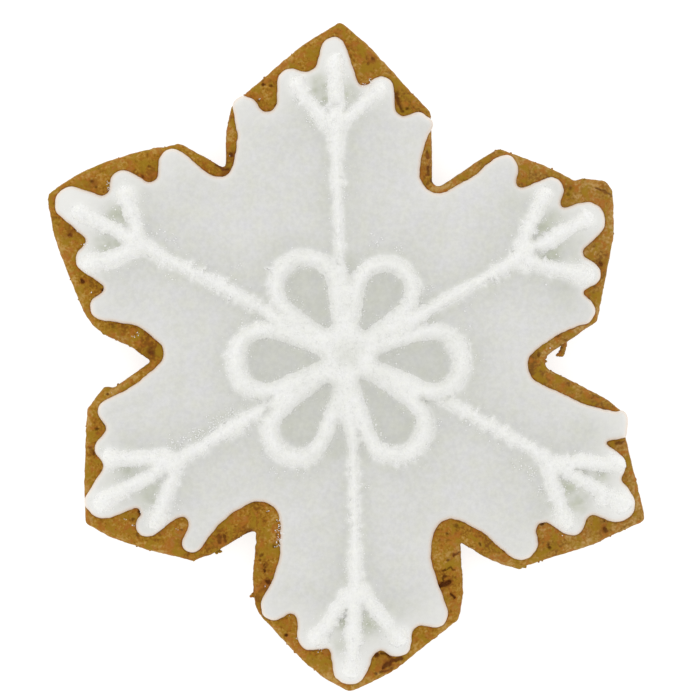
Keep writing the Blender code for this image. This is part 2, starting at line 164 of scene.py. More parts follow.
# For each arm, patches of paler dough (above 0) and darker dough: along, left, radius, tone.
PATCHES = {
    "top": (
        (30.0, -15.5, 3.0, 1.0), (25.6, -14.2, 2.4, 0.7), (35.6, 17.0, 2.2, 0.3), (30.0, 17.4, 3.0, -1.3),
        (39.6, 14.6, 2.2, -1.0), (39.6, -11.0, 2.0, -0.8), (43.0, -8.8, 1.6, -0.6),
    ),
    "upper_left": (
        (39.6, -14.2, 2.6, -1.1), (48.0, -6.6, 2.6, 0.3), (30.0, -17.6, 2.2, 0.4), (34.6, 13.6, 2.2, -0.5),
        (24.5, 15.0, 2.2, 0.9), (34.4, -15.6, 1.6, -0.3), (29.0, 14.6, 1.6, -0.4),
    ),
    "lower_left": (
        (35.4, -14.4, 2.0, 0.5), (30.0, -18.0, 3.0, 0.1), (35.4, 13.6, 2.6, -0.9), (30.6, 16.4, 2.6, -0.5),
        (47.2, 2.6, 2.2, 0.3), (40.0, 10.6, 2.0, 0.1), (26.0, -16.0, 2.6, -0.8), (42.0, -9.0, 1.8, -0.1),
    ),
    "bottom": (
        (38.8, -12.6, 2.4, -1.6), (42.6, -10.0, 1.8, -0.9), (35.4, 16.0, 2.4, -0.6), (40.0, 16.0, 2.0, 0.3),
        (48.4, 6.4, 2.2, -0.4), (35.0, -13.4, 2.4, -0.3), (29.6, 17.6, 2.4, -0.5),
    ),
    "lower_right": (
        (29.6, -18.4, 3.6, 0.5), (26.6, 15.4, 3.6, 0.3), (39.4, 12.8, 2.2, -0.6), (42.4, 9.4, 1.6, -0.4),
        (38.6, -12.6, 2.4, -1.2), (34.0, -15.6, 2.0, -0.5), (43.6, -10.4, 1.8, -0.3),
    ),
    "upper_right": (
        (25.2, 18.0, 2.6, -1.4), (29.6, 16.6, 2.2, -0.7), (47.0, 2.4, 2.6, 0.5), (42.6, -9.4, 2.2, -0.6),
        (24.6, -17.2, 2.6, -1.3), (30.0, -16.4, 2.2, -0.2), (47.2, -3.4, 2.0, 0.3),
    ),
}
# For each arm, orange patches baked more lightly beside the pits: along, left, radius, strength.
GLOWS = {
    "top": ((43.6, 11.8, 0.8, 0.5), (47.0, -4.9, 0.7, 0.5), (40.4, -10.0, 0.6, 0.5)),
    "upper_left": ((48.3, -5.6, 1.0, 0.8), (42.7, 9.9, 0.6, 0.4), (41.8, -11.0, 0.7, 0.5)),
    "lower_left": ((41.8, 4.6, 0.7, 0.5), (38.7, 11.9, 0.6, 0.5), (33.2, 14.2, 0.7, 0.5)),
    "bottom": (
        (49.0, 7.4, 0.8, 0.9), (48.4, 6.0, 0.6, 0.7), (36.9, 16.2, 0.7, 0.7), (37.8, -13.2, 0.9, 0.6),
        (29.6, 16.6, 0.7, 0.4), (34.8, -13.6, 0.6, 0.5),
    ),
    "lower_right": ((48.9, -5.3, 0.7, 0.5), (45.6, 9.1, 0.6, 0.5), (33.6, 14.0, 0.8, 0.5)),
    "upper_right": (
        (48.6, 3.1, 0.8, 0.5), (27.8, 19.0, 0.9, 0.6), (46.2, -6.2, 0.8, 0.4), (36.6, -15.2, 0.8, 0.5),
    ),
}
# For each arm, lumps of dough on the rim: along, left, height, radius.
LUMPS = {
    "top": ((34.4, 18.55, 4.6, 0.26),),
    "upper_left": ((36.0, 15.15, 4.7, 0.3), (31.4, 14.95, 4.0, 0.24), (27.9, 17.6, 4.9, 0.26)),
    "lower_left": (
        (35.4, -15.85, 4.4, 0.48), (36.3, -15.6, 4.2, 0.42), (34.2, 15.45, 4.5, 0.28),
        (37.9, 14.45, 4.7, 0.36), (33.4, -15.65, 4.0, 0.26),
    ),
    "bottom": ((47.1, -8.25, 4.8, 0.26), (39.1, 18.1, 4.6, 0.25), (31.1, -20.3, 4.6, 0.28)),
    "lower_right": ((41.0, -15.85, 4.4, 0.28), (49.9, 4.8, 4.8, 0.28)),
    "upper_right": ((27.1, -16.55, 4.2, 0.36), (26.7, -17.1, 4.3, 0.32), (47.0, 4.4, 4.6, 0.3)),
}
# Strands of dough that stick out of the rim: arm, height, and points of along, left and radius.
STRANDS = (
    (
        "upper_right", 4.3,
        ((30.9, -16.1, 0.5), (30.4, -16.8, 0.46), (29.6, -17.45, 0.42), (28.8, -17.3, 0.22)),
    ),
    ("bottom", 4.5, ((37.9, -14.6, 0.55), (38.1, -15.0, 0.38), (38.3, -15.45, 0.16))),
)
# For each arm, places where loose sugar lies on the dough or on the icing: along, left, spread, count.
SPECKS = {
    "top": (
        (41.6, 13.3, 0.1, 2), (44.2, -4.5, 0.22, 8), (43.6, -3.5, 0.18, 6), (41.2, 6.6, 0.7, 22),
        (38.6, 4.3, 0.8, 60), (18.6, -5.0, 0.9, 16), (17.6, -8.6, 0.5, 10),
    ),
    "upper_left": (
        (31.6, 13.4, 0.1, 2), (31.3, 12.7, 0.1, 2), (46.4, -5.5, 0.2, 6), (46.9, -6.2, 0.18, 5),
        (45.5, 4.2, 0.22, 6), (40.9, 10.3, 0.15, 3), (47.6, 3.0, 0.15, 2), (31.9, -19.4, 0.1, 1),
        (11.3, -4.2, 0.45, 9), (22.4, -4.4, 0.5, 6), (33.4, -2.8, 0.7, 14), (36.0, -3.0, 0.6, 10),
    ),
    "lower_left": (
        (43.7, 3.1, 0.12, 2), (43.3, 4.7, 0.12, 2), (37.6, 9.1, 0.12, 2), (41.0, 3.3, 0.22, 6),
        (25.8, 19.6, 0.15, 3), (27.2, -20.7, 0.12, 2), (26.4, -20.9, 0.12, 2), (34.9, -15.1, 0.1, 1),
        (20.4, -1.6, 0.75, 50), (23.8, -1.7, 0.85, 80), (27.4, -1.8, 0.85, 60), (31.0, -2.3, 0.9, 44),
        (35.4, 5.6, 0.6, 10),
    ),
    "bottom": (
        (45.0, -8.1, 0.15, 2), (46.7, -4.2, 0.25, 6), (36.4, -13.0, 0.12, 2), (30.1, -11.0, 0.26, 7),
        (29.2, -10.7, 0.28, 8), (28.2, -10.75, 0.3, 8), (27.2, -10.75, 0.3, 9), (26.2, -10.9, 0.26, 6),
        (24.5, -12.7, 0.16, 3), (41.3, -9.5, 0.1, 1), (7.2, 2.8, 0.35, 8), (9.8, 4.6, 0.5, 6),
        (18.2, -11.6, 0.5, 9), (18.3, -7.2, 0.6, 10), (20.6, 3.4, 0.4, 5),
    ),
    "lower_right": (
        (44.0, -8.7, 0.1, 1), (17.9, -2.4, 0.5, 10), (18.9, 10.2, 0.5, 5), (32.0, -1.5, 0.7, 14),
        (35.0, -2.0, 0.7, 22), (37.6, -3.7, 0.6, 20),
    ),
    "upper_right": ((28.6, -15.6, 0.1, 1), (16.8, 2.6, 0.6, 12), (20.8, -3.0, 0.4, 5)),
}
# For each arm, places where the icing's edge is broken into crumbs: along, left, radius, strength.
RAGGED = {
    "top": ((43.9, -4.1, 1.2, 1.0),),
    "upper_left": ((46.6, -5.8, 1.0, 0.8), (45.2, 4.6, 0.8, 0.6)),
    "lower_left": ((41.0, 3.3, 0.8, 1.0), (41.6, -7.0, 0.7, 0.6)),
    "bottom": ((29.6, -10.7, 1.3, 1.0), (27.4, -10.8, 1.4, 1.0), (46.7, -4.0, 0.9, 0.8)),
    "lower_right": ((47.5, 5.0, 0.8, 0.6),),
    "upper_right": (),
}
# For each arm, round blobs at its strokes' three ends and where strokes run together: along, left, radius.
BLOBS = {
    "top": ((43.6, 7.0, 1.05), (42.6, -5.8, 1.0), (47.0, 0.95, 0.95), (37.2, 1.1, 1.7), (38.2, 3.2, 1.1)),
    "upper_left": ((43.0, 6.2, 1.45), (43.4, -5.9, 1.2), (48.4, 0.1, 1.1), (38.0, 0.9, 1.3)),
    "lower_left": ((39.6, 6.0, 1.2), (40.4, -6.2, 1.4), (45.3, -1.0, 1.3), (33.0, -1.8, 1.2)),
    "bottom": ((44.5, 8.2, 1.45), (44.6, -4.6, 1.3), (49.8, 0.7, 1.1), (37.6, 2.2, 1.4), (37.8, -0.2, 1.2)),
    "lower_right": (
        (46.0, 5.6, 1.1), (43.0, -6.2, 1.3), (49.4, 0.5, 1.5), (46.8, -0.6, 0.9), (37.0, 0.0, 1.3),
    ),
    "upper_right": (
        (40.3, 5.3, 1.1), (39.3, -8.4, 1.4), (44.2, -1.3, 0.9), (32.4, -2.4, 1.2), (32.8, 0.6, 1.1),
    ),
}
# For each arm, bare icing between the strokes with painted shade: along, left, radius, strength.
VALLEYS = {
    "top": ((43.4, 3.6, 2.2, 0.9), (42.6, -1.4, 1.8, 0.8), (40.9, 2.8, 1.2, 0.9), (40.2, 1.1, 0.8, 0.5)),
    "upper_left": (
        (42.6, 2.8, 2.0, 0.9), (41.0, 1.8, 1.2, 1.0), (43.2, -2.6, 2.0, 1.0), (40.0, 7.4, 2.0, 0.25),
        (40.6, -7.8, 2.0, 0.25),
    ),
    "lower_left": (
        (38.6, 2.2, 1.9, 0.9), (37.0, 1.3, 1.0, 0.9), (39.2, -3.2, 2.2, 0.8), (40.4, 3.0, 1.6, 0.6),
    ),
    "bottom": (
        (42.4, 3.8, 2.0, 1.0), (42.4, -0.8, 1.5, 1.0), (46.0, -1.2, 1.8, 0.6), (40.0, 8.4, 2.0, 0.3),
    ),
    "lower_right": (
        (44.4, 3.2, 1.8, 0.8), (41.0, -1.7, 1.8, 1.0), (43.8, -2.8, 2.0, 0.9), (40.0, 8.0, 3.0, 0.35),
        (41.6, 1.9, 1.4, 0.9), (40.0, -7.6, 2.4, 0.4),
    ),
    "upper_right": (
        (37.4, 1.3, 1.7, 0.9), (36.4, -3.2, 1.8, 1.0), (39.6, 2.0, 1.7, 0.6), (34.7, -1.3, 0.9, 1.0),
        (40.4, -4.4, 1.8, 0.4), (35.4, -9.0, 2.4, 0.3), (36.4, 7.6, 2.4, 0.25),
    ),
}
# For each arm, where strokes are wider (above 0) or thinner than they are laid: along, left, radius, depth.
SWELLS = {
    "top": (
        (40.3, 1.1, 0.7, -1.2), (20.0, 2.1, 1.6, -0.4), (25.0, 2.2, 2.4, -0.4), (31.0, 2.5, 2.0, -0.4),
        (36.5, 3.3, 1.2, 0.3), (46.5, 1.8, 1.2, 0.3), (16.8, -6.0, 1.6, -0.3), (16.6, 5.4, 1.6, -0.3),
    ),
    "upper_left": (
        (28.0, -1.5, 2.0, -0.3), (33.0, -1.6, 2.0, -0.5), (39.5, 5.0, 1.4, 0.3), (38.0, -3.0, 1.4, -0.2),
        (42.4, 1.0, 1.2, -0.4), (16.8, -7.6, 1.6, 0.2), (19.0, 0.6, 2.4, 0.25),
    ),
    "lower_left": (
        (17.0, 0.8, 1.6, 0.4), (21.0, 0.9, 2.4, 0.4), (27.0, -1.6, 2.4, -0.4), (38.0, -6.9, 1.4, -0.5),
        (44.0, -1.0, 1.6, 0.4), (16.6, -4.8, 1.8, 0.5), (14.4, -8.0, 1.6, 0.4), (10.6, 4.0, 2.4, -0.4),
    ),
    "bottom": (
        (27.5, 0.1, 2.4, -0.4), (36.0, -0.6, 1.6, -0.4), (42.0, -5.4, 1.4, -0.5), (43.4, 7.6, 1.6, -0.5),
        (41.5, 1.2, 1.4, 0.35), (44.5, 1.0, 1.4, 0.2), (46.4, -2.6, 1.4, 0.4), (15.5, -8.0, 2.0, 0.2),
    ),
    "lower_right": (
        (24.5, 2.5, 2.4, -0.3), (32.4, -0.4, 1.6, -0.5), (40.0, -5.4, 1.4, -0.5), (41.0, 4.4, 1.6, 0.5),
        (45.0, 5.9, 1.4, 0.5), (14.4, 9.0, 2.0, 0.2), (16.4, -5.0, 1.8, 0.3),
    ),
    "upper_right": (
        (24.5, 0.6, 3.0, -0.3), (30.0, 0.7, 1.6, -0.4), (41.0, -1.2, 2.0, -0.2), (35.0, 3.2, 1.4, 0.3),
        (34.7, -1.3, 0.9, -0.7), (31.5, -2.1, 1.4, 0.3), (38.0, -9.0, 1.4, 0.3), (9.0, -4.6, 2.4, -0.35),
        (16.4, 6.0, 1.6, -0.2), (37.4, -1.3, 1.6, 0.3),
    ),
}
# For each arm, the icing that runs from its ray in to the hub, between two petals: along, left, radius.
BRIDGES = {
    "top": ((13.8, 0.9, 1.1), (10.4, 0.2, 1.35), (4.0, 0.0, 1.3)),
    "upper_left": ((13.8, -0.2, 1.1), (11.0, 0.0, 1.7), (4.0, 0.0, 1.3)),
    "lower_left": ((13.8, 0.3, 1.1), (11.4, 0.0, 1.8), (4.0, 0.0, 1.3)),
    "bottom": ((13.4, 1.1, 1.1), (9.4, 0.3, 1.3), (4.0, 0.0, 1.3)),
    "lower_right": ((13.8, 1.3, 1.1), (11.2, 0.6, 1.5), (4.0, 0.0, 1.3)),
    "upper_right": ((13.8, -0.5, 1.1), (11.2, 0.0, 1.7), (4.0, 0.0, 1.3)),
}
# The crease at the upper right arm's tip, beyond which a torn flap of dough lies lower.
FLAP_ARM = "upper_right"
FLAP_START = (46.4, 4.7)
FLAP_END = (49.8, -0.1)
FLAP_DROP = 0.40
FLAP_RIDGE = 0.12
FLAP_REACH = 6.0


# ---------------------------------------------------------------- numbers and noise

def hashed(cells, seed):
    """A steady random value from -1 to 1 for each row of three whole numbers."""
    mixed = cells[:, 0] * 374761393 + cells[:, 1] * 668265263 + cells[:, 2] * 2246822519
    mixed = (mixed + seed * 3266489917) & 0xFFFFFFFF
    mixed = ((mixed ^ (mixed >> 15)) * 2246822519) & 0xFFFFFFFF
    mixed = ((mixed ^ (mixed >> 13)) * 3266489917) & 0xFFFFFFFF
    mixed = mixed ^ (mixed >> 16)
    return mixed / 2.0**31 - 1.0


def in_space(places):
    """The places with a height of 0 where they have none."""
    return places if places.shape[1] == 3 else np.column_stack([places, np.zeros(len(places))])


def lumps(places, size, seed):
    """Smooth random values from -1 to 1 at the places, in lumps of about the given size."""
    scaled = in_space(places) / size + 1000.0
    cell = np.floor(scaled).astype(np.int64)
    part = scaled - cell
    blend = part * part * (3.0 - 2.0 * part)
    total = np.zeros(len(places))
    for corner in itertools.product((0, 1), repeat=3):
        weight = np.prod(np.where(corner, blend, 1.0 - blend), axis=1)
        total += weight * hashed(cell + np.array(corner), seed)
    return total


def rough(places, size, octaves, seed):
    """Lumps with smaller and weaker lumps on them."""
    total = sum(lumps(places, size / 2.0**k, seed + k) / 2.0**k for k in range(octaves))
    return total / (2.0 - 2.0 ** (1 - octaves))


def pores(places, spacing, share, seed):
    """Values from 0 to 1 that peak in small round spots: the given share of the cells holds one."""
    scaled = in_space(places) / spacing + 1000.0
    home = np.floor(scaled).astype(np.int64)
    found = np.zeros(len(places))
    for step in itertools.product((-1, 0, 1), repeat=3):
        cell = home + np.array(step)
        centre = cell + 0.5 + 0.4 * np.column_stack([hashed(cell, seed + k) for k in (1, 2, 3)])
        radius = 0.30 + 0.12 * hashed(cell, seed + 4)
        away = np.linalg.norm(scaled - centre, axis=1) / radius
        present = hashed(cell, seed) < 2.0 * share - 1.0
        found = np.maximum(found, np.where(present, np.exp(-(away**2)), 0.0))
    return found


def eased(value, low, high):
    """0 below low, 1 above high and a smooth rise between them."""
    share = np.clip((value - low) / (high - low), 0.0, 1.0)
    return share * share * (3.0 - 2.0 * share)


def bell(spread, step=1.0):
    """The weights of a smooth average over the given spread, each with its offset in steps."""
    reach = int(math.ceil(3 * spread / step))
    offsets = np.arange(-reach, reach + 1)
    weights = np.exp(-0.5 * (offsets * step / spread) ** 2)
    weights /= weights.sum()
    return list(zip(weights, offsets))


def in_arm(arm, along, left):
    """The plan point of a place given in an arm's own frame."""
    angle = math.radians(ARM_ANGLES[arm])
    ahead = np.array([math.cos(angle), math.sin(angle)])
    aside = np.array([-math.sin(angle), math.cos(angle)])
    return HUB + along * ahead + left * aside


def each_spot(places, table):
    """The table's round spots at the places, one after another. Its rows end in radius and strength."""
    for arm, rows in table.items():
        for along, left, radius, strength in rows:
            away = np.linalg.norm(places - in_arm(arm, along, left), axis=1) / radius
            yield strength * np.exp(-(away**2))


def spots(places, table):
    """The strongest of the table's spots at each place."""
    found = np.zeros(len(places))
    for spot in each_spot(places, table):
        found = np.maximum(found, spot)
    return found


def beside_line(places, start, end):
    """How far each place is from a straight line, and where along it, from 0 to 1, the nearest point is."""
    side = end - start
    share = np.clip((places - start) @ side / (side @ side), 0.0, 1.0)
    return np.linalg.norm(places - start - share[:, None] * side, axis=1), share


def distance_to_line(places, line):
    return np.min([beside_line(places, *ends)[0] for ends in itertools.pairwise(line)], axis=0)


# ---------------------------------------------------------------- outlines

KEYS_PER_MM = 200


def floor_loops(node):
    """The closed loops of plan points round a CAD node's flat underside, with its inside on their left."""
    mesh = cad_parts[node].data
    places = np.array([vertex.co for vertex in mesh.vertices]) / MM
    floor = places[:, 2].min() + 0.02
    keys = [tuple(key) for key in np.round(places[:, :2] * KEYS_PER_MM).astype(int)]
    after = {}
    for polygon in mesh.polygons:
        corners = list(polygon.vertices)
        if max(places[corner][2] for corner in corners) > floor:
            continue
        for here, there in zip(corners, corners[1:] + corners[:1]):
            if keys[here] != keys[there]:
                after.setdefault(keys[there], set()).add(keys[here])
    for start in list(after):
        for end in list(after[start]):
            if start in after.get(end, ()):
                after[start].discard(end)
                after[end].discard(start)
    loops = []
    while any(after.values()):
        start = next(key for key, ends in after.items() if ends)
        loop = [start]
        while after[loop[-1]]:
            following = after[loop[-1]].pop()
            if following == start:
                break
            loop.append(following)
        loops.append(np.array(loop) / KEYS_PER_MM)
    return [loop for loop in loops if len(loop) > 6]


def evenly(loop, step):
    """The closed loop with its points spaced evenly, about one step apart."""
    closed = np.vstack([loop, loop[:1]])
    travelled = np.concatenate([[0.0], np.cumsum(np.linalg.norm(np.diff(closed, axis=0), axis=1))])
    count = max(8, int(round(travelled[-1] / step)))
    at = np.arange(count) * travelled[-1] / count
    return np.column_stack([np.interp(at, travelled, closed[:, axis]) for axis in (0, 1)])


def softened(loop, step, spread):
    """The evenly spaced closed loop with its corners and facets smoothed over the given spread."""
    return sum(weight * np.roll(loop, offset, axis=0) for weight, offset in bell(spread, step))


def outward(loop):
    """The unit normals of a closed loop, away from what is on its left."""
    along = np.roll(loop, -1, axis=0) - np.roll(loop, 1, axis=0)
    along /= np.maximum(np.linalg.norm(along, axis=1, keepdims=True), 1e-9)
    return np.column_stack([along[:, 1], -along[:, 0]])


class Outline:
    """Closed loops of evenly spaced points that can say how deep inside them a place is."""

    STEP = 0.2

    def __init__(self, node, spread, shift=None):
        self.loops = [softened(evenly(loop, self.STEP), self.STEP, spread) for loop in floor_loops(node)]
        if shift:
            self.loops = [shift(loop) for loop in self.loops]
        self.points = np.vstack(self.loops)
        self.normals = np.vstack([outward(loop) for loop in self.loops])
        self.after = np.vstack([np.roll(loop, -1, axis=0) for loop in self.loops])
        self.before = np.vstack([np.roll(loop, 1, axis=0) for loop in self.loops])
        self.tree = KDTree(len(self.points))
        for index, (x, y) in enumerate(self.points):
            self.tree.insert((x, y, 0.0), index)
        self.tree.balance()

    def nearest(self, places):
        """How far inside the loops each place is (below 0 outside them), and the nearest point on them."""
        find = self.tree.find
        near = np.array([find((x, y, 0.0))[1] for x, y in places.tolist()], dtype=int)
        here = self.points[near]
        best = np.full(len(places), np.inf)
        foot = here.copy()
        for other in (self.after[near], self.before[near]):
            side = other - here
            length = np.maximum(np.einsum("ij,ij->i", side, side), 1e-12)
            share = np.clip(np.einsum("ij,ij->i", places - here, side) / length, 0.0, 1.0)
            found = here + side * share[:, None]
            away = np.linalg.norm(places - found, axis=1)
            foot = np.where((away < best)[:, None], found, foot)
            best = np.minimum(best, away)
        outside = np.einsum("ij,ij->i", places - here, self.normals[near]) > 0
        return np.where(outside, -best, best), foot

    def depth(self, places):
        return self.nearest(places)[0]


DOUGH_OUTLINE = Outline("gingerbread", 0.14)


def icing_shift(loop):
    """The icing's outline, run over the dough's edge where it comes near, and broken where it is ragged."""
    over = 1.0 - eased(DOUGH_OUTLINE.depth(loop), 0.15, 0.75)
    ragged = spots(loop, RAGGED) * rough(loop, 0.8, 2, 77)
    uneven = 0.05 + 0.10 * lumps(loop, 1.7, 78) + 0.06 * lumps(loop, 0.7, 79)
    return loop + outward(loop) * (0.38 * over + 0.20 * ragged + uneven)[:, None]


ICING_OUTLINE = Outline("icing", 0.3, icing_shift)
STROKES = [Outline(node, 0.3) for node in PIPING_NODES]


# ---------------------------------------------------------------- meshes

def filled(loop, loose):
    """A closed loop filled with triangles round loose points: points, triangles and the rim's indices."""
    count = len(loop)
    places = [Vector(place) for place in np.vstack([loop, loose]).tolist()]
    edges = [(index, (index + 1) % count) for index in range(count)]
    points, _, triangles, sources, *_ = delaunay_2d_cdt(places, edges, [], 1, 1e-5)
    found = np.array([tuple(point) for point in points])
    spot = {source: index for index, group in enumerate(sources) for source in group}
    rim = [spot[index] for index in range(count)]
    return found, np.array([list(triangle) for triangle in triangles]), np.array(rim)


def band(upper, lower):
    """The triangles between two closed rows of the same number of points, given by their indices."""
    upper_next, lower_next = np.roll(upper, -1), np.roll(lower, -1)
    return [np.column_stack([upper, lower, lower_next]), np.column_stack([upper, lower_next, upper_next])]


def underside(loop, loose, rim):
    """A bottom that fills a closed loop: its points, which of them lie on the loop, and its faces.

    The faces use the loop's own points, rim, whose indices come just before those of the bottom.
    """
    places, triangles, own_rim = filled(loop, loose)
    mapping = rim[-1] + 1 + np.arange(len(places))
    mapping[own_rim] = rim
    return places, own_rim, mapping[triangles][:, ::-1]


def topped(values, below, count):
    """The values at the points of a piece's top, and one value for the rest of its points."""
    return np.concatenate([values, np.full(count - len(values), below)])


def rings(outline, depths):
    """Points on lines that follow the outline at each depth inside it."""
    found = []
    for loop in outline.loops:
        normals = outward(loop)
        for depth in depths:
            places = loop - normals * depth
            found.append(places[outline.depth(places) > depth * 0.93])
    return np.vstack(found)


def grid_over(outline, step, seed, jitter=0.25):
    """Points of a jittered triangular grid that covers the outline's box."""
    low = outline.points.min(axis=0) - 1.0
    high = outline.points.max(axis=0) + 1.0
    columns = np.arange(low[0], high[0], step)
    rows = np.arange(low[1], high[1], step * math.sqrt(3) / 2)
    x, y = np.meshgrid(columns, rows)
    x[1::2] += step / 2
    places = np.column_stack([x.ravel(), y.ravel()])
    random = np.random.default_rng(seed)
    return places + random.uniform(-jitter, jitter, places.shape) * step


def new_piece(name, places, faces, material, attributes, smooth=True):
    """A mesh object from points in mm and faces of equal size, riding on the cookie's only body."""
    mesh = bpy.data.meshes.new(name)
    sides = faces.shape[1]
    mesh.vertices.add(len(places))
    mesh.vertices.foreach_set("co", (places * MM).astype(np.float32).ravel())
    mesh.loops.add(faces.size)
    mesh.loops.foreach_set("vertex_index", faces.astype(np.int32).ravel())
    mesh.polygons.add(len(faces))
    mesh.polygons.foreach_set("loop_start", np.arange(0, faces.size, sides, dtype=np.int32))
    mesh.polygons.foreach_set("use_smooth", np.full(len(faces), smooth))
    mesh.update(calc_edges=True)
    mesh.validate()
    for key, values in attributes.items():
        layer = mesh.attributes.new(key, "FLOAT", "POINT")
        layer.data.foreach_set("value", values.astype(np.float32))
    mesh.materials.append(material)
    made = bpy.data.objects.new(name, mesh)
    bpy.context.scene.collection.objects.link(made)
    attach(made, "root")
    return made


# ---------------------------------------------------------------- materials

# The colour sockets of a Mix node, which come after its number and vector sockets.
MIX_COLOURS = slice(6, 8)
MIX_COLOUR = 2


class Shader:
    """A material whose nodes are added by short calls."""

    def __init__(self, name):
        self.material = bpy.data.materials.new(name)
        self.material.use_nodes = True
        self.tree = self.material.node_tree
        self.surface = self.tree.nodes["Principled BSDF"]
        self.coordinates = self.tree.nodes.new("ShaderNodeTexCoord").outputs["Object"]

    def put(self, socket, value):
        if isinstance(value, bpy.types.NodeSocket):
            self.tree.links.new(value, socket)
        else:
            socket.default_value = value

    def noise(self, size, detail=3.0, roughness=0.55, distortion=0.0):
        """Noise whose lumps are about the given size in mm."""
        node = self.tree.nodes.new("ShaderNodeTexNoise")
        self.put(node.inputs["Vector"], self.coordinates)
        self.put(node.inputs["Scale"], 1.0 / (size * MM))
        self.put(node.inputs["Detail"], detail)
        self.put(node.inputs["Roughness"], roughness)
        self.put(node.inputs["Distortion"], distortion)
        return node.outputs["Fac"]

    def cells(self, size):
        """The distance to the nearest of random points that are about the given size in mm apart."""
        node = self.tree.nodes.new("ShaderNodeTexVoronoi")
        self.put(node.inputs["Vector"], self.coordinates)
        self.put(node.inputs["Scale"], 1.0 / (size * MM))
        return node.outputs["Distance"]

    def ranged(self, value, low, high, to_low=0.0, to_high=1.0):
        """The value moved smoothly from the first range to the second, and kept in it."""
        node = self.tree.nodes.new("ShaderNodeMapRange")
        node.interpolation_type = "SMOOTHSTEP"
        names = ("Value", "From Min", "From Max", "To Min", "To Max")
        for name, given in zip(names, (value, low, high, to_low, to_high)):
            self.put(node.inputs[name], given)
        return node.outputs["Result"]

    def maths(self, operation, first, second):
        node = self.tree.nodes.new("ShaderNodeMath")
        node.operation = operation
        self.put(node.inputs[0], first)
        self.put(node.inputs[1], second)
        return node.outputs[0]

    def blended(self, *parts):
        """The sum of (share, value) parts."""
        total = 0.0
        for share, value in parts:
            total = self.maths("ADD", self.maths("MULTIPLY", value, share), total)
        return total

    def ramp(self, value, *stops):
        """The colour at the value, between stops of (place, colour)."""
        node = self.tree.nodes.new("ShaderNodeValToRGB")
        ramp = node.color_ramp
        while len(ramp.elements) < len(stops):
            ramp.elements.new(1.0)
        for element, (place, colour) in zip(ramp.elements, stops):
            element.position = place
            element.color = (*colour, 1.0)
        self.put(node.inputs["Fac"], value)
        return node.outputs["Color"]

    def attribute(self, name):
        node = self.tree.nodes.new("ShaderNodeAttribute")
        node.attribute_name = name
        return node.outputs["Fac"]

    def mix(self, share, first, second, blend="MIX"):
        node = self.tree.nodes.new("ShaderNodeMix")
        node.data_type = "RGBA"
        node.blend_type = blend
        self.put(node.inputs["Factor"], share)
        for socket, colour in zip(node.inputs[MIX_COLOURS], (first, second)):
            self.put(socket, (*colour, 1.0) if isinstance(colour, tuple) else colour)
        return node.outputs[MIX_COLOUR]

    def bump(self, height, distance, strength=1.0, before=None):
        """A bump whose full height is the given distance in mm."""
        node = self.tree.nodes.new("ShaderNodeBump")
        self.put(node.inputs["Strength"], strength)
        self.put(node.inputs["Distance"], distance * MM)
        self.put(node.inputs["Height"], height)
        if before is not None:
            self.put(node.inputs["Normal"], before)
        return node.outputs["Normal"]

    def finish(self, colour, roughness, normal, specular):
        self.put(self.surface.inputs["Base Color"], colour)
        self.put(self.surface.inputs["Roughness"], roughness)
        self.put(self.surface.inputs["Specular IOR Level"], specular)
        if normal is not None:
            self.put(self.surface.inputs["Normal"], normal)
        return self.material


# The dough's colours from dark to pale, and where they are on its range of tones.
DOUGH_STOPS = (0.0, 0.32, 0.52, 0.75, 1.0)
WARM_DOUGH = (
    (0.190, 0.070, 0.003), (0.296, 0.136, 0.006), (0.342, 0.163, 0.011),
    (0.384, 0.197, 0.024), (0.462, 0.272, 0.074),
)
GREYER_DOUGH = (
    (0.190, 0.083, 0.012), (0.294, 0.146, 0.019), (0.340, 0.177, 0.028),
    (0.378, 0.206, 0.045), (0.460, 0.286, 0.100),
)


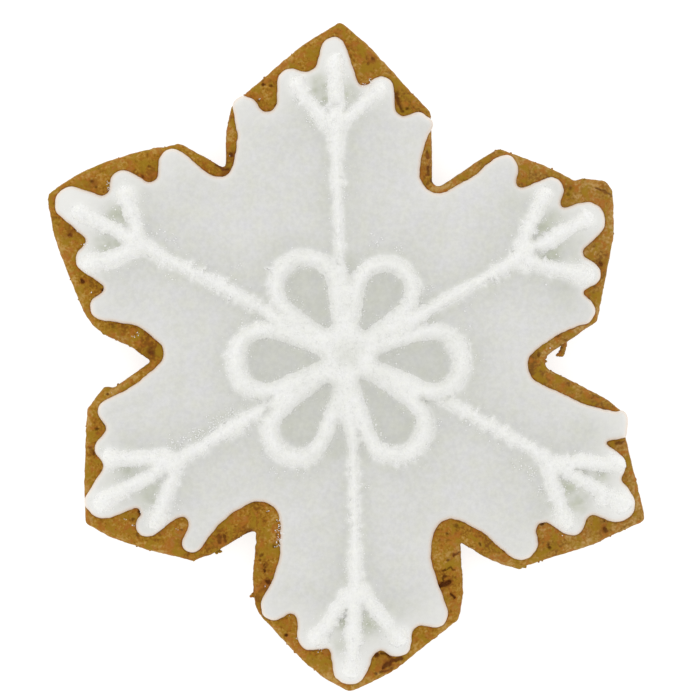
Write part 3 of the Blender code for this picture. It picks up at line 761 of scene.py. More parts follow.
def dough_material():
    """Baked dough: ochre with redder, greener and paler patches, scorched spots and a browner underside."""
    shader = Shader("baked_gingerbread")
    grain = shader.noise(0.50, 4.0, 0.60)
    mottle = shader.noise(1.3, 3.0, 0.55, 0.4)
    broad = shader.noise(5.0, 2.0)
    tone = shader.blended((0.64, grain), (0.18, mottle), (0.38, broad), (0.16, shader.attribute("tone")))
    tone = shader.ranged(tone, 0.465, 0.745)
    warm = shader.ramp(tone, *zip(DOUGH_STOPS, WARM_DOUGH))
    greyer = shader.ramp(tone, *zip(DOUGH_STOPS, GREYER_DOUGH))
    colour = shader.mix(shader.attribute("greyer"), warm, greyer)
    reddish = shader.ranged(shader.noise(1.4, 4.0, 0.6, 0.5), 0.46, 0.64, 0.0, 0.95)
    colour = shader.mix(reddish, colour, (0.350, 0.120, 0.010))
    olive = shader.ranged(shader.noise(2.0, 4.0, 0.6, 0.5), 0.46, 0.64, 0.0, 0.90)
    colour = shader.mix(olive, colour, (0.300, 0.169, 0.007))
    pale = shader.ranged(shader.noise(1.4, 4.0, 0.6, 0.3), 0.56, 0.78, 0.0, 0.42)
    colour = shader.mix(pale, colour, (0.400, 0.235, 0.082))
    speck = shader.ranged(shader.cells(1.0), 0.02, 0.14, 0.8, 0.0)
    speckled = shader.maths("MULTIPLY", speck, shader.ranged(shader.noise(2.0, 2.0), 0.45, 0.60))
    colour = shader.mix(speckled, colour, (0.130, 0.044, 0.004))
    colour = shader.mix(shader.attribute("glow"), colour, (0.440, 0.190, 0.020))
    broken = shader.ranged(shader.noise(0.9, 3.0, 0.6), 0.35, 0.62)
    stain = shader.maths("MULTIPLY", shader.attribute("stain"), broken)
    colour = shader.mix(stain, colour, (0.190, 0.054, 0.005))
    # Painted shade in the pits, cracks and pores, and a painted contact shadow at the icing's foot.
    colour = shader.mix(shader.attribute("painted_hollow_and_contact_shade"), colour, (0.120, 0.032, 0.004))
    underside = shader.ramp(
        shader.noise(1.6, 4.0, 0.6), (0.3, (0.125, 0.048, 0.006)), (0.7, (0.250, 0.115, 0.020))
    )
    colour = shader.mix(shader.attribute("under"), colour, underside)
    fine = shader.bump(grain, 0.10, 0.6)
    coarse = shader.bump(mottle, 0.10, 0.4, fine)
    return shader.finish(colour, 0.78, coarse, 0.16)


def icing_material():
    """Set white icing: smooth, faintly cloudy, with painted shade, and painted light in its warm thin edge
    and sugar dust.
    """
    shader = Shader("flood_icing")
    cloud = shader.ranged(shader.noise(8.0, 3.0), 0.3, 0.7)
    colour = shader.mix(cloud, (0.658, 0.661, 0.632), (0.688, 0.690, 0.670))
    # Painted shade beside the strokes and inside the petals.
    colour = shader.mix(shader.attribute("shade"), colour, (0.585, 0.593, 0.548))
    # Painted shade between the strokes near the arms' tips.
    colour = shader.mix(shader.attribute("painted_valley_shade"), colour, (0.500, 0.520, 0.425))
    fleck = shader.ranged(shader.noise(0.7, 3.0, 0.6), 0.25, 0.75, 0.945, 1.045)
    colour = shader.mix(1.0, colour, fleck, "MULTIPLY")
    tint = shader.ramp(shader.noise(2.0, 4.0, 0.6), (0.3, (1.0, 1.0, 0.955)), (0.7, (0.99, 0.982, 1.02)))
    colour = shader.mix(1.0, colour, tint, "MULTIPLY")
    # Whiter toward the arms' tips.
    colour = shader.mix(shader.attribute("whiter_toward_tips"), colour, (0.810, 0.805, 0.775))
    # A painted highlight along the icing's sloping edge.
    colour = shader.mix(shader.attribute("edge"), colour, (0.735, 0.728, 0.700))
    # A warm band at the thin edge: partly the dough showing through the thin icing, partly painted light
    # bounced from the dough.
    colour = shader.mix(shader.attribute("rim"), colour, (0.790, 0.700, 0.610))
    # Fine sugar beside the strokes, partly painted light that lifts the shade there.
    colour = shader.mix(shader.attribute("sugar_dust_and_painted_light"), colour, (0.900, 0.903, 0.880))
    fine = shader.bump(shader.noise(0.5, 3.0, 0.5), 0.02, 0.5)
    soft = shader.bump(shader.noise(4.0, 2.0, 0.5), 0.10, 0.5, fine)
    roughness = shader.ranged(shader.noise(1.5, 2.0), 0.3, 0.7, 0.42, 0.56)
    return shader.finish(colour, roughness, soft, 0.2)


def piping_material():
    """Piped icing crusted with fine sugar, greyer where it was pressed flat at the hub."""
    shader = Shader("piped_icing")
    grain = shader.noise(0.35, 4.0, 0.7)
    colour = shader.mix(shader.ranged(grain, 0.3, 0.7), (0.835, 0.837, 0.815), (0.885, 0.887, 0.872))
    tint = shader.ramp(shader.noise(1.5, 3.0, 0.6), (0.3, (1.0, 1.0, 0.965)), (0.7, (0.995, 0.99, 1.005)))
    colour = shader.mix(1.0, colour, tint, "MULTIPLY")
    colour = shader.mix(shader.attribute("pressed"), colour, (0.745, 0.750, 0.705))
    return shader.finish(colour, 0.75, shader.bump(grain, 0.10, 0.5), 0.2)


def sugar_material():
    shader = Shader("sugar_crystal")
    colour = shader.mix(shader.noise(0.6, 2.0), (0.850, 0.853, 0.835), (0.900, 0.900, 0.890))
    colour = shader.mix(shader.attribute("pressed"), colour, (0.765, 0.770, 0.720))
    return shader.finish(colour, 0.40, None, 0.3)


# ---------------------------------------------------------------- surfaces

HOLLOW_WOBBLE = 0.28
# The direction in which the dough gets greyer, in degrees counter-clockwise from +X.
GREYER_ANGLE = 12.0


def rim_drop(depth):
    """How far the dough's top is below its middle, at a depth inside its outline."""
    share = np.clip(depth / RIM_WIDTH, 0.0, 1.0)
    return RIM_DROP * (1.0 - np.sqrt(1.0 - (1.0 - share) ** 2))


def hollows(places, wider=1.0):
    """How deep the pits and cracks go at each place of the dough's top."""
    wobble = np.column_stack([rough(places, 0.7, 2, seed) for seed in (71, 72)]) * HOLLOW_WOBBLE
    moved = places + wobble
    deep = np.zeros(len(places))
    for arm, rows in PITS.items():
        for along, left, radius, depth in rows:
            away = np.linalg.norm(moved - in_arm(arm, along, left), axis=1) / (radius * wider)
            deep = np.maximum(deep, depth * np.exp(-(away**3)))
    for arm, rows in CRACKS.items():
        for width, depth, points in rows:
            line = [in_arm(arm, *point) for point in points]
            away = distance_to_line(moved, line) / (width * wider)
            deep = np.maximum(deep, depth * np.exp(-(away**3)))
    return deep


def flap_drop(places):
    """How far the torn flap at one arm's tip lies below the dough round it, with a ridge on its crease."""
    start = in_arm(FLAP_ARM, *FLAP_START)
    end = in_arm(FLAP_ARM, *FLAP_END)
    length = np.linalg.norm(end - start)
    side = (end - start) / length
    beyond = (places - start) @ np.array([-side[1], side[0]])
    share = (places - start) @ side / length
    within = eased(share, -0.25, 0.05) * (1.0 - eased(share, 0.95, 1.15))
    near = np.linalg.norm(places - (start + end) / 2, axis=1) < FLAP_REACH
    ridge = FLAP_RIDGE * np.exp(-(((beyond + 0.35) / 0.3) ** 2))
    return (FLAP_DROP * eased(beyond, 0.0, 0.45) - ridge) * within * near


def dough_top(places, depth):
    """The height of the dough's top, without its pits and cracks."""
    wavy = 0.10 * lumps(places, 5.0, 11) + 0.05 * rough(places, 1.2, 3, 12)
    return DOUGH_TOP - rim_drop(depth) + np.minimum(wavy, 0.12) - flap_drop(places)


def icing_rise(depth):
    """How far the icing's top is above the dough, at a depth inside the icing's outline."""
    share = np.clip(depth / ICING_STEEP_WIDTH, 0.0, 1.0)
    steep = ICING_STEEP * np.sqrt(1.0 - (1.0 - share) ** 2)
    crown = ICING_CROWN * (1.0 - np.exp(-np.maximum(depth, 0.0) / ICING_CROWN_WIDTH))
    return steep + crown


def icing_top(places, depth, dough_depth):
    """The height of the icing's top. It bridges the dough's rounded rim where it runs over it."""
    under = DOUGH_TOP - rim_drop(dough_depth) * np.exp(-np.maximum(depth, 0.0) / 1.2)
    return under + icing_rise(depth) + 0.05 * lumps(places, 6.0, 31) * eased(depth, 0.0, 2.0)


def greyer(points):
    """From 0 to 1 toward the cookie's right side, where the dough is greyer."""
    angle = math.radians(GREYER_ANGLE)
    toward_right = (points[:, :2] - HUB) @ np.array([math.cos(angle), math.sin(angle)])
    return eased(toward_right, 2.0, 38.0)


# ---------------------------------------------------------------- dough

WALL_ROWS = 18


def dough_rim():
    """The dough's cut edge: its points, their outward normals and how far the noise moves each."""
    loop = DOUGH_OUTLINE.loops[0]
    normals = outward(loop)
    crumbly = eased(lumps(loop, 7.0, 20), -0.3, 0.7)
    moved = (0.05 + 0.11 * crumbly) * rough(loop, 0.9, 3, 21) + 0.07 * lumps(loop, 3.0, 24)
    return loop + normals * moved[:, None], normals, moved


def on_bare_dough(places, from_rim, under_icing):
    """The places that lie further in than from_rim and less far under the icing than under_icing."""
    places = places[DOUGH_OUTLINE.depth(places) > from_rim]
    return places[ICING_OUTLINE.depth(places) < under_icing]


def dough_points(rim, normals, moved):
    """Loose points for the dough's top: lines along the rim and a grid, sparse where icing covers it."""
    lines = []
    for depth in (0.12, 0.26):
        places = rim - normals * depth
        lines.append(places[DOUGH_OUTLINE.depth(places) > depth + moved.min()])
    fine = on_bare_dough(grid_over(DOUGH_OUTLINE, 0.21, 2), 0.42, 0.4)
    finest = grid_over(DOUGH_OUTLINE, 0.12, 5)
    finest = on_bare_dough(finest[hollows(finest, wider=1.4) > 0.03], 0.42, 0.3)
    sparse = grid_over(DOUGH_OUTLINE, 1.6, 3)
    sparse = sparse[(DOUGH_OUTLINE.depth(sparse) > 0.8) & (ICING_OUTLINE.depth(sparse) > 0.9)]
    return np.vstack([*lines, fine, finest, sparse])


def dough_wall(rim, normals, top):
    """Rows of points down the dough's porous side, from the height of its top to the base."""
    rows = []
    for share in np.linspace(0.0, 1.0, WALL_ROWS + 1)[1:]:
        height = top * (1.0 - share)
        bulge = 0.10 * math.sin(math.pi * share) - 0.45 * eased(share, 0.86, 1.0) ** 2 - 0.12 * share
        at = np.column_stack([rim, height])
        porous = 0.12 * rough(at, 1.0, 3, 41)
        porous = porous - 0.35 * pores(at, 1.1, 0.30, 44) - 0.16 * pores(at, 0.6, 0.25, 54)
        moved = bulge + porous * math.sin(math.pi * min(share + 0.1, 1.0))
        rows.append(np.column_stack([rim + normals * moved[:, None], height]))
    return rows


def dough_looks(places, from_rim, deep, open_pores):
    """The dough top's painted shade, scorch, orange glow and paleness at each place, and its painted rim
    highlight.
    """
    under_edge = 1.0 - eased(-ICING_OUTLINE.depth(places), 0.03, 0.22)
    # A painted contact shadow: the dough darkens in a thin line along the icing's foot.
    contact_shadow = under_edge * (0.42 + 0.34 * lumps(places, 2.5, 75))
    return {
        # Painted shade in the pits, cracks and open pores, joined with the painted contact shadow.
        "painted_hollow_and_contact_shade": np.maximum(np.maximum(eased(deep, 0.02, 0.45) * 0.85, 0.30 * open_pores), contact_shadow),
        "stain": 0.95 * spots(places, STAINS),
        "glow": 0.60 * spots(places, GLOWS) * (0.8 + 0.6 * rough(places, 1.0, 2, 86)),
        # Paler along the rounded rim: a painted highlight. The patches are the dough's own paler and darker
        # tone.
        "tone": sum(each_spot(places, PATCHES)) + 0.04 + 0.25 * (1.0 - eased(from_rim, 0.6, 1.6)),
    }


def make_dough(material):
    rim, normals, moved = dough_rim()
    places, triangles, rim_spots = filled(rim, dough_points(rim, normals, moved))
    from_rim = DOUGH_OUTLINE.depth(places)
    from_rim[rim_spots] = 0.0
    deep = hollows(places)
    open_pores = pores(places, 0.85, 0.22, 74) * eased(lumps(places, 4.0, 73), -0.5, 0.5)
    raised = pores(places, 0.70, 0.20, 84) * eased(lumps(places, 3.0, 83), -0.4, 0.6)
    top = dough_top(places, from_rim) - deep - 0.16 * open_pores + 0.07 * raised
    wall = dough_wall(rim, normals, top[rim_spots])

    first = len(places) + np.arange(WALL_ROWS) * len(rim)
    rows = [rim_spots] + [start + np.arange(len(rim)) for start in first]
    faces = [triangles]
    for upper, lower in itertools.pairwise(rows):
        faces += band(upper, lower)
    loose = grid_over(DOUGH_OUTLINE, 0.62, 4)
    loose = loose[DOUGH_OUTLINE.depth(loose) > 1.2]
    base, base_rim, base_faces = underside(wall[-1][:, :2], loose, rows[-1])
    faces.append(base_faces)
    dents = 0.20 * pores(base, 2.1, 0.35, 51) + 0.06 * (1.0 + lumps(base, 3.0, 56))
    dents[base_rim] = 0.0
    points = np.vstack([np.column_stack([places, top]), *wall, np.column_stack([base, dents])])

    looks = dough_looks(places, from_rim, deep, open_pores)
    attributes = {key: topped(values, 0.0, len(points)) for key, values in looks.items()}
    attributes["greyer"] = greyer(points)
    attributes["under"] = eased(-points[:, 2], -2.2, -0.2)
    attributes["under"][:len(places)] = 0.0
    dough = new_piece("gingerbread_dough", points, np.vstack(faces), material, attributes)
    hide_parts("gingerbread")


# ---------------------------------------------------------------- crumbs

SMALL_CRUMBS = 60
STRAND_STEP = 0.14


def ball():
    """The points and triangles of a ball of radius 1."""
    shape = bmesh.new()
    bmesh.ops.create_icosphere(shape, subdivisions=3, radius=1.0)
    points = np.array([vertex.co for vertex in shape.verts])
    faces = np.array([[vertex.index for vertex in face.verts] for face in shape.faces])
    shape.free()
    return points, faces


def strand_balls(arm, height, rows):
    """The places and sizes of balls that run together along a strand."""
    for (*start, radius), (*end, next_radius) in itertools.pairwise(rows):
        here = in_arm(arm, *start)
        there = in_arm(arm, *end)
        steps = int(math.ceil(np.linalg.norm(there - here) / STRAND_STEP))
        for share in np.arange(steps) / steps:
            x, y = here + (there - here) * share
            yield x, y, height, radius + (next_radius - radius) * share


def crumb_balls(random):
    """The places and sizes of every lump, strand and loose crumb."""
    for arm, rows in LUMPS.items():
        for along, left, height, radius in rows:
            yield *in_arm(arm, along, left), height, radius
    for strand in STRANDS:
        yield from strand_balls(*strand)
    loop = DOUGH_OUTLINE.loops[0]
    for _ in range(SMALL_CRUMBS):
        x, y = loop[random.integers(len(loop))]
        height = DOUGH_TOP - RIM_DROP - random.exponential(1.1)
        yield x, y, max(height, 0.9), random.uniform(0.10, 0.19)


def make_crumbs(material):
    """Lumps, strands and crumbs of dough that stick out of the rim."""
    ball_points, ball_faces = ball()
    random = np.random.default_rng(17)
    placed = list(crumb_balls(random))
    points = []
    for index, (x, y, height, radius) in enumerate(placed):
        uneven = ball_points * random.uniform(0.8, 1.2, 3)
        grown = 1.0 + 0.30 * rough(uneven + 7.0 * index, 0.8, 3, 19)
        points.append(uneven * grown[:, None] * radius + np.array([x, y, height]))
    points = np.vstack(points)
    faces = np.vstack([ball_faces + len(ball_points) * index for index in range(len(placed))])
    crumbs = new_piece("gingerbread_crumbs", points, faces, material, {"greyer": greyer(points)})


# ---------------------------------------------------------------- icing

EDGE_RINGS = (0.04, 0.12, 0.24, 0.4, 0.6, 0.82, 1.06, 1.35, 1.7)
ICING_UNDERSIDE = DOUGH_TOP - 0.4


def icing_points(field):
    """Loose points for the icing's top: rings along its edge and a grid, finer beside the strokes."""
    wide = grid_over(ICING_OUTLINE, 0.7, 6, jitter=0.1)
    wide = wide[(ICING_OUTLINE.depth(wide) > 2.0) & (np.abs(field.at(field.plain_depth, wide) + 1.0) > 1.4)]
    fine = grid_over(ICING_OUTLINE, 0.36, 8, jitter=0.1)
    fine = fine[(ICING_OUTLINE.depth(fine) > 1.9) & (np.abs(field.at(field.plain_depth, fine) + 1.0) < 1.3)]
    return np.vstack([rings(ICING_OUTLINE, EDGE_RINGS), wide, fine])


def icing_looks(field, places, depth):
    """For each look of the icing, its value below the top and its values on it."""
    from_hub = np.linalg.norm(places - HUB, axis=1)
    # Painted shade between the strokes, which also keeps the sugar dust and whitening off there.
    painted_valley_shade = spots(places + 0.3 * rough(places, 1.0, 2, 33)[:, None], VALLEYS)
    painted_valley_shade = np.clip(painted_valley_shade * (0.95 + 0.6 * rough(places, 0.7, 2, 35)), 0.0, 1.0)
    unshaded = 1.0 - 0.85 * painted_valley_shade
    return {
        # A painted highlight along the icing's sloping edge, in a narrow band and a wider faint one.
        "edge": (1.0, 0.75 * (1.0 - eased(depth, 0.1, 1.1)) + 0.25 * (1.0 - eased(depth, 0.8, 3.4))),
        # A warm band at the thin edge: partly the dough showing through the thin icing, partly painted
        # light bounced from the dough.
        "rim": (1.0, 0.9 * (1.0 - eased(depth, 0.10, 0.62))),
        # Painted shade beside the strokes and inside the petals.
        "shade": (0.0, field.at(field.shade, places)),
        "painted_valley_shade": (0.0, painted_valley_shade),
        # Whiter toward the arms' tips, away from the hub.
        "whiter_toward_tips": (0.0, np.clip((from_hub - 38.5) / 13.0, 0.0, 1.0) * unshaded),
        # Fine sugar beside the strokes, partly painted light that lifts the shade there.
        "sugar_dust_and_painted_light": (0.0, field.at(field.sugar_dust_and_painted_light, places) * unshaded),
    }


def make_icing(field, material):
    loop = ICING_OUTLINE.loops[0]
    places, triangles, upper = filled(loop, icing_points(field))
    depth = ICING_OUTLINE.depth(places)
    depth[upper] = 0.0
    top = icing_top(places, depth, DOUGH_OUTLINE.depth(places))
    foot = dough_top(loop, DOUGH_OUTLINE.depth(loop)) - FOOT_SUNK
    lower = len(places) + np.arange(len(loop))
    inner = grid_over(ICING_OUTLINE, 3.0, 7)
    inner = inner[ICING_OUTLINE.depth(inner) > 1.0]
    base, _, base_faces = underside(loop, inner, lower)
    base_height = np.full(len(base), ICING_UNDERSIDE)
    faces = np.vstack([triangles, *band(upper, lower), base_faces])
    layers = ((places, top), (loop, foot), (base, base_height))
    points = np.vstack([np.column_stack(layer) for layer in layers])
    attributes = {
        key: topped(values, below, len(points))
        for key, (below, values) in icing_looks(field, places, depth).items()
    }
    icing = new_piece("flood_icing", points, faces, material, attributes)
    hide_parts("icing")


# ---------------------------------------------------------------- piping

HUB_PRESSED = 3.2
HUB_FLAT_SHIFT = np.array([0.3, 0.4])
PETALS_END = 16.0


def teeth(foot):
    """How far the sugar stands out at each point of a stroke's edge: in thin teeth square to the edge."""
    fuzzy = 0.35 + 0.65 * eased(lumps(foot, 6.0, 101), -0.5, 0.5)
    ragged = lumps(foot, 0.60, 102) + 0.5 * lumps(foot, 0.30, 103)
    return fuzzy * (0.60 * np.maximum(ragged, 0.0) ** 1.3 - 0.20 * np.maximum(-ragged, 0.0))


def blurred(grid, spread):
    """The grid's values smoothed over the given spread, in grid steps."""
    for axis in (0, 1):
        grid = sum(weight * np.roll(grid, offset, axis=axis) for weight, offset in bell(spread))
    return grid


class PipingField:
    """The piped lines as one height over the plan: rounded ridges that run together."""

    STEP = 0.2
    MARGIN = 6.0
    ROUND = 1.55
    HEIGHT = 1.88
    STEEP = 1.15
    FLARE = 0.03
    TIP_FLARE = 0.20
    TIP_REACH = 3.0
    CREST_BLUR = 0.42
    HUB_SUNK = 0.55
    JOIN = 0.3
    HUB_JOIN = 0.7
    FAR = -7.0
    FARTHEST = -9.0

    def __init__(self):
        self.low = np.min([stroke.points.min(axis=0) for stroke in STROKES], axis=0) - self.MARGIN
        high = np.max([stroke.points.max(axis=0) for stroke in STROKES], axis=0) + self.MARGIN
        steps = [np.arange(start, end, self.STEP) for start, end in zip(self.low, high)]
        columns, rows = np.meshgrid(*steps)
        self.shape = columns.shape
        self.places = np.column_stack([columns.ravel(), rows.ravel()])
        self.from_hub = np.linalg.norm(self.places - HUB, axis=1)
        self.plain_depth = self.joined_depth()
        self.icing_depth, self.ground = self.icing_below()
        self.plain_depth += sum(each_spot(self.places, SWELLS))
        self.depth = self.grainy_depth()
        self.height = self.ground + self.rise()
        self.shade = self.shading()
        self.sugar_dust_and_painted_light = self.sugar_haze_and_painted_light()
        self.pressed = self.flattened()

    def stroke_depths(self):
        """How deep inside each stroke each place is, with teeth of sugar at the stroke's edge."""
        for stroke in STROKES:
            low = stroke.points.min(axis=0) - self.MARGIN
            high = stroke.points.max(axis=0) + self.MARGIN
            inside = ((self.places > low) & (self.places < high)).all(axis=1)
            depth = np.full(len(self.places), self.FARTHEST)
            depth[inside], foot = stroke.nearest(self.places[inside])
            fringe = 0.45 + 0.55 * eased(self.from_hub[inside], 15.0, 19.0)
            depth[inside] += fringe * teeth(foot) * (1.0 - eased(depth[inside], 0.2, 0.9))
            yield depth

    def blob_depths(self):
        for arm, rows in BLOBS.items():
            for along, left, radius in rows:
                yield radius - np.linalg.norm(self.places - in_arm(arm, along, left), axis=1)

    def bridge_depths(self):
        for arm, rows in BRIDGES.items():
            for (*start, first), (*end, last) in itertools.pairwise(rows):
                away, share = beside_line(self.places, in_arm(arm, *start), in_arm(arm, *end))
                yield first + (last - first) * share - away

    def joined_depth(self):
        """How deep inside the strokes each place is, where strokes that meet run softly together."""
        join = self.JOIN + (self.HUB_JOIN - self.JOIN) * (1.0 - eased(self.from_hub, 8.5, 13.5))
        joined = np.zeros(len(self.places))
        for depth in self.stroke_depths():
            joined += np.exp(depth / join)
        for depth in itertools.chain(self.blob_depths(), self.bridge_depths()):
            joined += np.exp(np.maximum(depth, self.FARTHEST) / join)
        return join * np.log(joined)

    def icing_below(self):
        """How deep inside the icing each place near the strokes is, and the height of the icing's top."""
        near = self.plain_depth > self.FAR
        icing_depth = np.full(len(self.places), self.FAR)
        icing_depth[near] = ICING_OUTLINE.depth(self.places[near])
        dough_depth = np.zeros(len(self.places))
        dough_depth[near] = DOUGH_OUTLINE.depth(self.places[near])
        return icing_depth, icing_top(self.places, icing_depth, dough_depth)

    def grainy_depth(self):
        """The depth with the strokes' uneven, sugary edges, kept on the icing."""
        feathers = 0.13 * rough(self.places, 1.1, 3, 61) + 0.07 * lumps(self.places, 0.45, 65)
        tufts = 0.30 * pores(self.places, 0.8, 0.35, 63) * eased(lumps(self.places, 3.0, 64), -0.4, 0.5)
        flare = self.FLARE + self.TIP_FLARE * eased(self.from_hub, 36.0, 40.0)
        depth = self.plain_depth + flare + feathers + tufts
        return np.minimum(depth, self.icing_depth + 0.4)

    def rise(self):
        """How far the strokes' top is above the icing: round, with a soft crest, and lower at the hub."""
        share = np.clip(self.depth / self.ROUND, 0.0, 1.0)
        sharp = self.HEIGHT * np.sin(math.pi / 2 * share) ** self.STEEP
        smooth = blurred(sharp.reshape(self.shape), self.CREST_BLUR / self.STEP).ravel()
        rise = sharp + (1.05 * smooth - sharp) * eased(self.depth, 0.35, 0.95)
        rise -= self.HUB_SUNK * (1.0 - eased(self.from_hub, 1.6, 4.6))
        lumpy = eased(self.depth, 0.0, 0.6) * eased(self.from_hub, 1.5, 4.0)
        rise += (0.12 * rough(self.places, 1.1, 3, 67) + 0.04 * lumps(self.places, 0.3, 69)) * lumpy
        return np.where(self.depth > 0, np.maximum(rise, 0.0), 0.0)

    def shading(self):
        """How much painted shade darkens the icing beside the strokes and inside the petals."""
        near = np.exp(np.minimum(self.plain_depth, 0.0) / 2.6)
        in_petals = 1.0 - eased(self.from_hub, 15.6, 17.4)
        in_petals = in_petals * (0.5 + 0.5 * eased(self.plain_depth, -6.0, -1.0))
        return np.clip(0.80 * near * (1.0 - in_petals) + in_petals, 0.0, 1.0)

    def sugar_haze_and_painted_light(self):
        """Fine sugar beside the strokes, with painted light that lifts the shade there: furthest out round
        the arms' tips.
        """
        tips = {
            arm: [(along, left, self.TIP_REACH, 1.0) for along, left, _ in rows[:3]]
            for arm, rows in BLOBS.items()
        }
        reach = 0.30 + 0.35 * spots(self.places, tips)
        patchy = 1.0 + 0.5 * rough(self.places, 1.2, 3, 66)
        thick = 1.0 - 0.65 * (1.0 - eased(self.from_hub, PETALS_END - 1.5, PETALS_END + 1.0))
        return thick * np.clip(np.exp(np.minimum(self.plain_depth, 0.0) / reach / patchy), 0.0, 1.0)

    def flattened(self):
        """How far the piping is pressed flat and so greyer: most at the hub, some on the petals."""
        from_flat = np.linalg.norm(self.places - HUB - HUB_FLAT_SHIFT, axis=1)
        hub = 1.0 - eased(from_flat, 1.0, HUB_PRESSED)
        petals = 1.0 - eased(self.from_hub, 17.0, 21.0)
        flat = 0.14 * petals + 0.50 * hub + (0.09 + 0.31 * petals) * rough(self.places, 2.6, 3, 68)
        return np.clip(flat, 0.0, 1.0)

    def at(self, values, places):
        """The grid's values between its points, at the places."""
        spot = (places - self.low) / self.STEP
        last = np.array([self.shape[1] - 2, self.shape[0] - 2])
        cell = np.clip(np.floor(spot).astype(int), 0, last)
        part = np.clip(spot - cell, 0.0, 1.0)
        grid = values.reshape(self.shape)
        x, y = cell[:, 0], cell[:, 1]
        left = grid[y, x] * (1 - part[:, 1]) + grid[y + 1, x] * part[:, 1]
        right = grid[y, x + 1] * (1 - part[:, 1]) + grid[y + 1, x + 1] * part[:, 1]
        return left * (1 - part[:, 0]) + right * part[:, 0]


def piping_quads(field):
    """The grid squares that touch a stroke: the grid points they use, and their corners among those."""
    inside = field.depth.reshape(field.shape) > 0
    kept = inside[:-1, :-1] | inside[1:, :-1] | inside[:-1, 1:] | inside[1:, 1:]
    rows, columns = np.nonzero(kept)
    width = field.shape[1]
    corner = rows * width + columns
    quads = np.column_stack([corner, corner + 1, corner + width + 1, corner + width])
    used, index = np.unique(quads, return_inverse=True)
    return used, index.reshape(quads.shape)


def border_of(quads):
    """The edges that only one of the faces has, in that face's direction."""
    starts = quads.ravel()
    ends = np.roll(quads, -1, axis=1).ravel()
    edges = set(zip(starts.tolist(), ends.tolist()))
    return np.array([edge for edge in edges if (edge[1], edge[0]) not in edges])


def make_piping(field, material):
    used, quads = piping_quads(field)
    # The points just outside move in to the edge, along the slope of the depth.
    slope_y, slope_x = np.gradient(field.depth.reshape(field.shape), field.STEP)
    slope = np.column_stack([slope_x.ravel(), slope_y.ravel()])[used]
    steep = np.maximum((slope**2).sum(axis=1, keepdims=True), 0.2)
    depth = field.depth[used]
    most = field.STEP * 0.9
    shift = np.clip(-depth[:, None] * slope / steep, -most, most)
    places = field.places[used] + np.where(depth[:, None] < 0, shift, 0.0)
    height = np.where(depth < 0, field.ground[used] - 0.08, field.height[used])
    top = np.column_stack([places, height])
    base = np.column_stack([places, field.ground[used] - 0.3])
    count = len(used)
    border = border_of(quads)
    side = np.column_stack([border[:, 1], border[:, 0], border[:, 0] + count, border[:, 1] + count])
    faces = np.vstack([quads, quads[:, ::-1] + count, side])
    attributes = {"pressed": np.tile(field.pressed[used], 2)}
    piping = new_piece("piped_lines", np.vstack([top, base]), faces, material, attributes)
    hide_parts(*PIPING_NODES)


# ---------------------------------------------------------------- sugar

BOX_CORNERS = np.array(list(itertools.product((-0.5, 0.5), repeat=3)))
BOX_FACES = np.array([
    (0, 1, 3, 2), (4, 6, 7, 5), (0, 4, 5, 1), (2, 3, 7, 6), (0, 2, 6, 4), (1, 5, 7, 3),
])
CHIP_CORNERS = np.array([
    (0.6, 0, 0), (-0.6, 0, 0), (0, 0.6, 0), (0, -0.6, 0), (0, 0, 0.5), (0, 0, -0.5),
])
CHIP_FACES = np.array([
    (0, 2, 4), (2, 1, 4), (1, 3, 4), (3, 0, 4), (2, 0, 5), (1, 2, 5), (3, 1, 5), (0, 3, 5),
])
# Loose crystals that lie on the icing are larger than those on the dough.
LOOSE_ON_ICING = 1.4


def turns(random, count):
    """Random rotation matrices."""
    quaternion = random.normal(size=(count, 4))
    w, x, y, z = (quaternion / np.linalg.norm(quaternion, axis=1, keepdims=True)).T
    return np.stack([
        np.stack([1 - 2 * (y * y + z * z), 2 * (x * y - z * w), 2 * (x * z + y * w)], axis=1),
        np.stack([2 * (x * y + z * w), 1 - 2 * (x * x + z * z), 2 * (y * z - x * w)], axis=1),
        np.stack([2 * (x * z - y * w), 2 * (y * z + x * w), 1 - 2 * (x * x + y * y)], axis=1),
    ], axis=1)


def make_crystals(name, shape, centres, sizes, pressed, random, material):
    """Small crystals of uneven sides and corners, each turned its own way."""
    corners, faces = shape
    count = len(centres)
    uneven = corners[None] + random.uniform(-0.13, 0.13, (count, len(corners), 3))
    uneven = uneven * sizes[:, None, None] * random.uniform(0.65, 1.15, (count, 1, 3))
    placed = np.einsum("nij,nkj->nki", turns(random, count), uneven) + centres[:, None]
    first = len(corners) * np.arange(count)[:, None, None]
    all_faces = (faces[None] + first).reshape(-1, faces.shape[1])
    attributes = {"pressed": np.repeat(pressed, len(corners))}
    crystals = new_piece(name, placed.reshape(-1, 3), all_faces, material, attributes, smooth=False)


def sugar_places(field, random, density, reach, strays):
    """Random places on the piping, thinning out over the reach beside it, with a few strays further off."""
    low, high = field.places.min(axis=0), field.places.max(axis=0)
    places = random.uniform(low, high, (int(np.prod(high - low) * density), 2))
    depth = field.at(field.depth, places)
    outside = np.minimum(depth, 0.0)
    clumps = lumps(places, 2.4, 95)
    beside = 0.55 * np.exp(outside / (reach * (1.0 + 0.6 * clumps)))
    far = strays * eased(lumps(places, 4.5, 97), -0.3, 0.7) * np.exp(outside / 2.2)
    chance = np.where(depth > 0.0, 1.0, np.maximum(beside, far))
    kept = (random.random(len(places)) < chance) & (depth > -5.5)
    return places[kept & (field.at(field.icing_depth, places) > 0.3)]


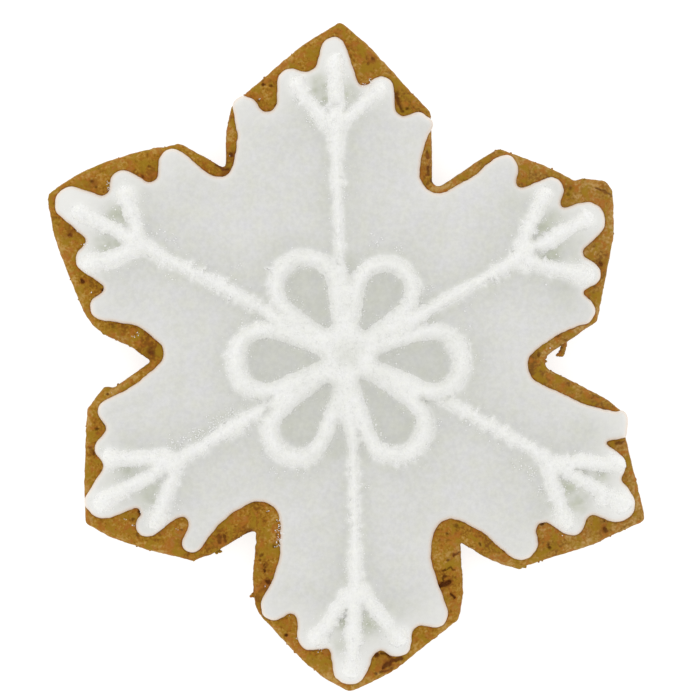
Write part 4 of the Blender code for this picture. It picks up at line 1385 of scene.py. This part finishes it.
def loose_sugar(random):
    """The places, heights and sizes of the loose crystals on the dough and the icing."""
    places = np.array([
        in_arm(arm, along, left) + random.normal(0.0, spread, 2)
        for arm, rows in SPECKS.items()
        for along, left, spread, count in rows
        for _ in range(count)
    ])
    depth = ICING_OUTLINE.depth(places)
    dough_depth = DOUGH_OUTLINE.depth(places)
    on_dough = dough_top(places, dough_depth) - hollows(places) * 0.7
    height = np.where(depth > 0, icing_top(places, depth, dough_depth), on_dough) + 0.05
    sizes = random.uniform(0.07, 0.14, len(places)) * np.where(depth > 0, LOOSE_ON_ICING, 1.0)
    return places, height, sizes


def make_sugar(field, material):
    random = np.random.default_rng(91)
    # Name, shape, grains to the square millimetre, reach, share of strays, smallest and largest grain.
    kinds = (
        ("sugar_crystals", (BOX_CORNERS, BOX_FACES), 6.4, 0.30, 0.004, 0.12, 0.21),
        ("sugar_dust", (CHIP_CORNERS, CHIP_FACES), 12.0, 0.46, 0.006, 0.08, 0.15),
    )
    for name, shape, density, reach, strays, smallest, largest in kinds:
        places = sugar_places(field, random, density, reach, strays)
        sizes = random.uniform(smallest, largest, len(places))
        height = field.at(field.height, places) + sizes * 0.10
        if name == "sugar_crystals":
            loose_places, loose_height, loose_sizes = loose_sugar(random)
            places = np.vstack([places, loose_places])
            height = np.concatenate([height, loose_height])
            sizes = np.concatenate([sizes, loose_sizes])
        centres = np.column_stack([places, height])
        pressed = field.at(field.pressed, places)
        make_crystals(name, shape, centres, sizes, pressed, random, material)


# ---------------------------------------------------------------- stage, light, camera

# The floor and the light are given in metres, and the light's power in watts.
FLOOR_HALF = 1.5
FLOOR_BELOW = 0.0001
FLOOR_GREY = 0.45
FLOOR_GLOW = 0.78


def make_stage():
    mesh = bpy.data.meshes.new("floor")
    half = FLOOR_HALF
    corners = [(-half, -half, 0), (half, -half, 0), (half, half, 0), (-half, half, 0)]
    mesh.from_pydata(corners, [], [(0, 1, 2, 3)])
    floor = bpy.data.objects.new("floor", mesh)
    bpy.context.scene.collection.objects.link(floor)
    floor.location.z = -FLOOR_BELOW
    material = bpy.data.materials.new("pale_floor")
    material.use_nodes = True
    surface = material.node_tree.nodes["Principled BSDF"]
    surface.inputs["Base Color"].default_value = (FLOOR_GREY, FLOOR_GREY, FLOOR_GREY, 1.0)
    surface.inputs["Roughness"].default_value = 0.9
    surface.inputs["Specular IOR Level"].default_value = 0.0
    surface.inputs["Emission Color"].default_value = (1.0, 1.0, 1.0, 1.0)
    surface.inputs["Emission Strength"].default_value = FLOOR_GLOW
    mesh.materials.append(material)


# The sky's strength at the horizon and overhead.
SKY_LOW = 1.17
SKY_HIGH = 0.93


def make_world():
    world = bpy.data.worlds.new("studio")
    bpy.context.scene.world = world
    world.use_nodes = True
    tree = world.node_tree
    background = tree.nodes["Background"]
    coordinates = tree.nodes.new("ShaderNodeTexCoord")
    split = tree.nodes.new("ShaderNodeSeparateXYZ")
    tree.links.new(coordinates.outputs["Generated"], split.inputs[0])
    rise = tree.nodes.new("ShaderNodeMapRange")
    tree.links.new(split.outputs["Z"], rise.inputs["Value"])
    for name, value in (("From Min", 0.0), ("From Max", 0.9), ("To Min", SKY_LOW), ("To Max", SKY_HIGH)):
        rise.inputs[name].default_value = value
    tree.links.new(rise.outputs["Result"], background.inputs["Strength"])
    background.inputs["Color"].default_value = (1.0, 1.0, 1.0, 1.0)


def make_light(name, azimuth, elevation, distance, size, power):
    data = bpy.data.lights.new(name, "AREA")
    data.shape = "DISK"
    data.size = size
    data.energy = power
    light = bpy.data.objects.new(name, data)
    bpy.context.scene.collection.objects.link(light)
    turn, rise = math.radians(azimuth), math.radians(elevation)
    level = math.cos(rise)
    place = Vector((math.cos(turn) * level, math.sin(turn) * level, math.sin(rise))) * distance
    light.location = place
    light.rotation_euler = (-place).to_track_quat("-Z", "Y").to_euler()


# What the picture shows, in millimetres: its width, its middle and the height that it is measured at.
PICTURE_WIDTH = 112.0
PICTURE_CENTRE = (0.64, 1.12)
PICTURE_HEIGHT = 6.5
LENS = 1000.0
SENSOR = 36.0


def make_camera():
    data = bpy.data.cameras.new("camera")
    data.lens = LENS
    data.sensor_width = SENSOR
    data.clip_start = 0.1
    data.clip_end = 10.0
    camera = bpy.data.objects.new("camera", data)
    bpy.context.scene.collection.objects.link(camera)
    away = PICTURE_WIDTH * LENS / SENSOR
    camera.location = (PICTURE_CENTRE[0] * MM, PICTURE_CENTRE[1] * MM, (PICTURE_HEIGHT + away) * MM)
    bpy.context.scene.camera = camera


def main():
    baked = dough_material()
    make_dough(baked)
    make_crumbs(baked)
    field = PipingField()
    make_icing(field, icing_material())
    make_piping(field, piping_material())
    make_sugar(field, sugar_material())
    make_stage()
    make_world()
    make_light("key", azimuth=120.0, elevation=50.0, distance=0.7, size=0.22, power=0.35)
    make_camera()
    bpy.context.scene.view_settings.view_transform = "Standard"


main()
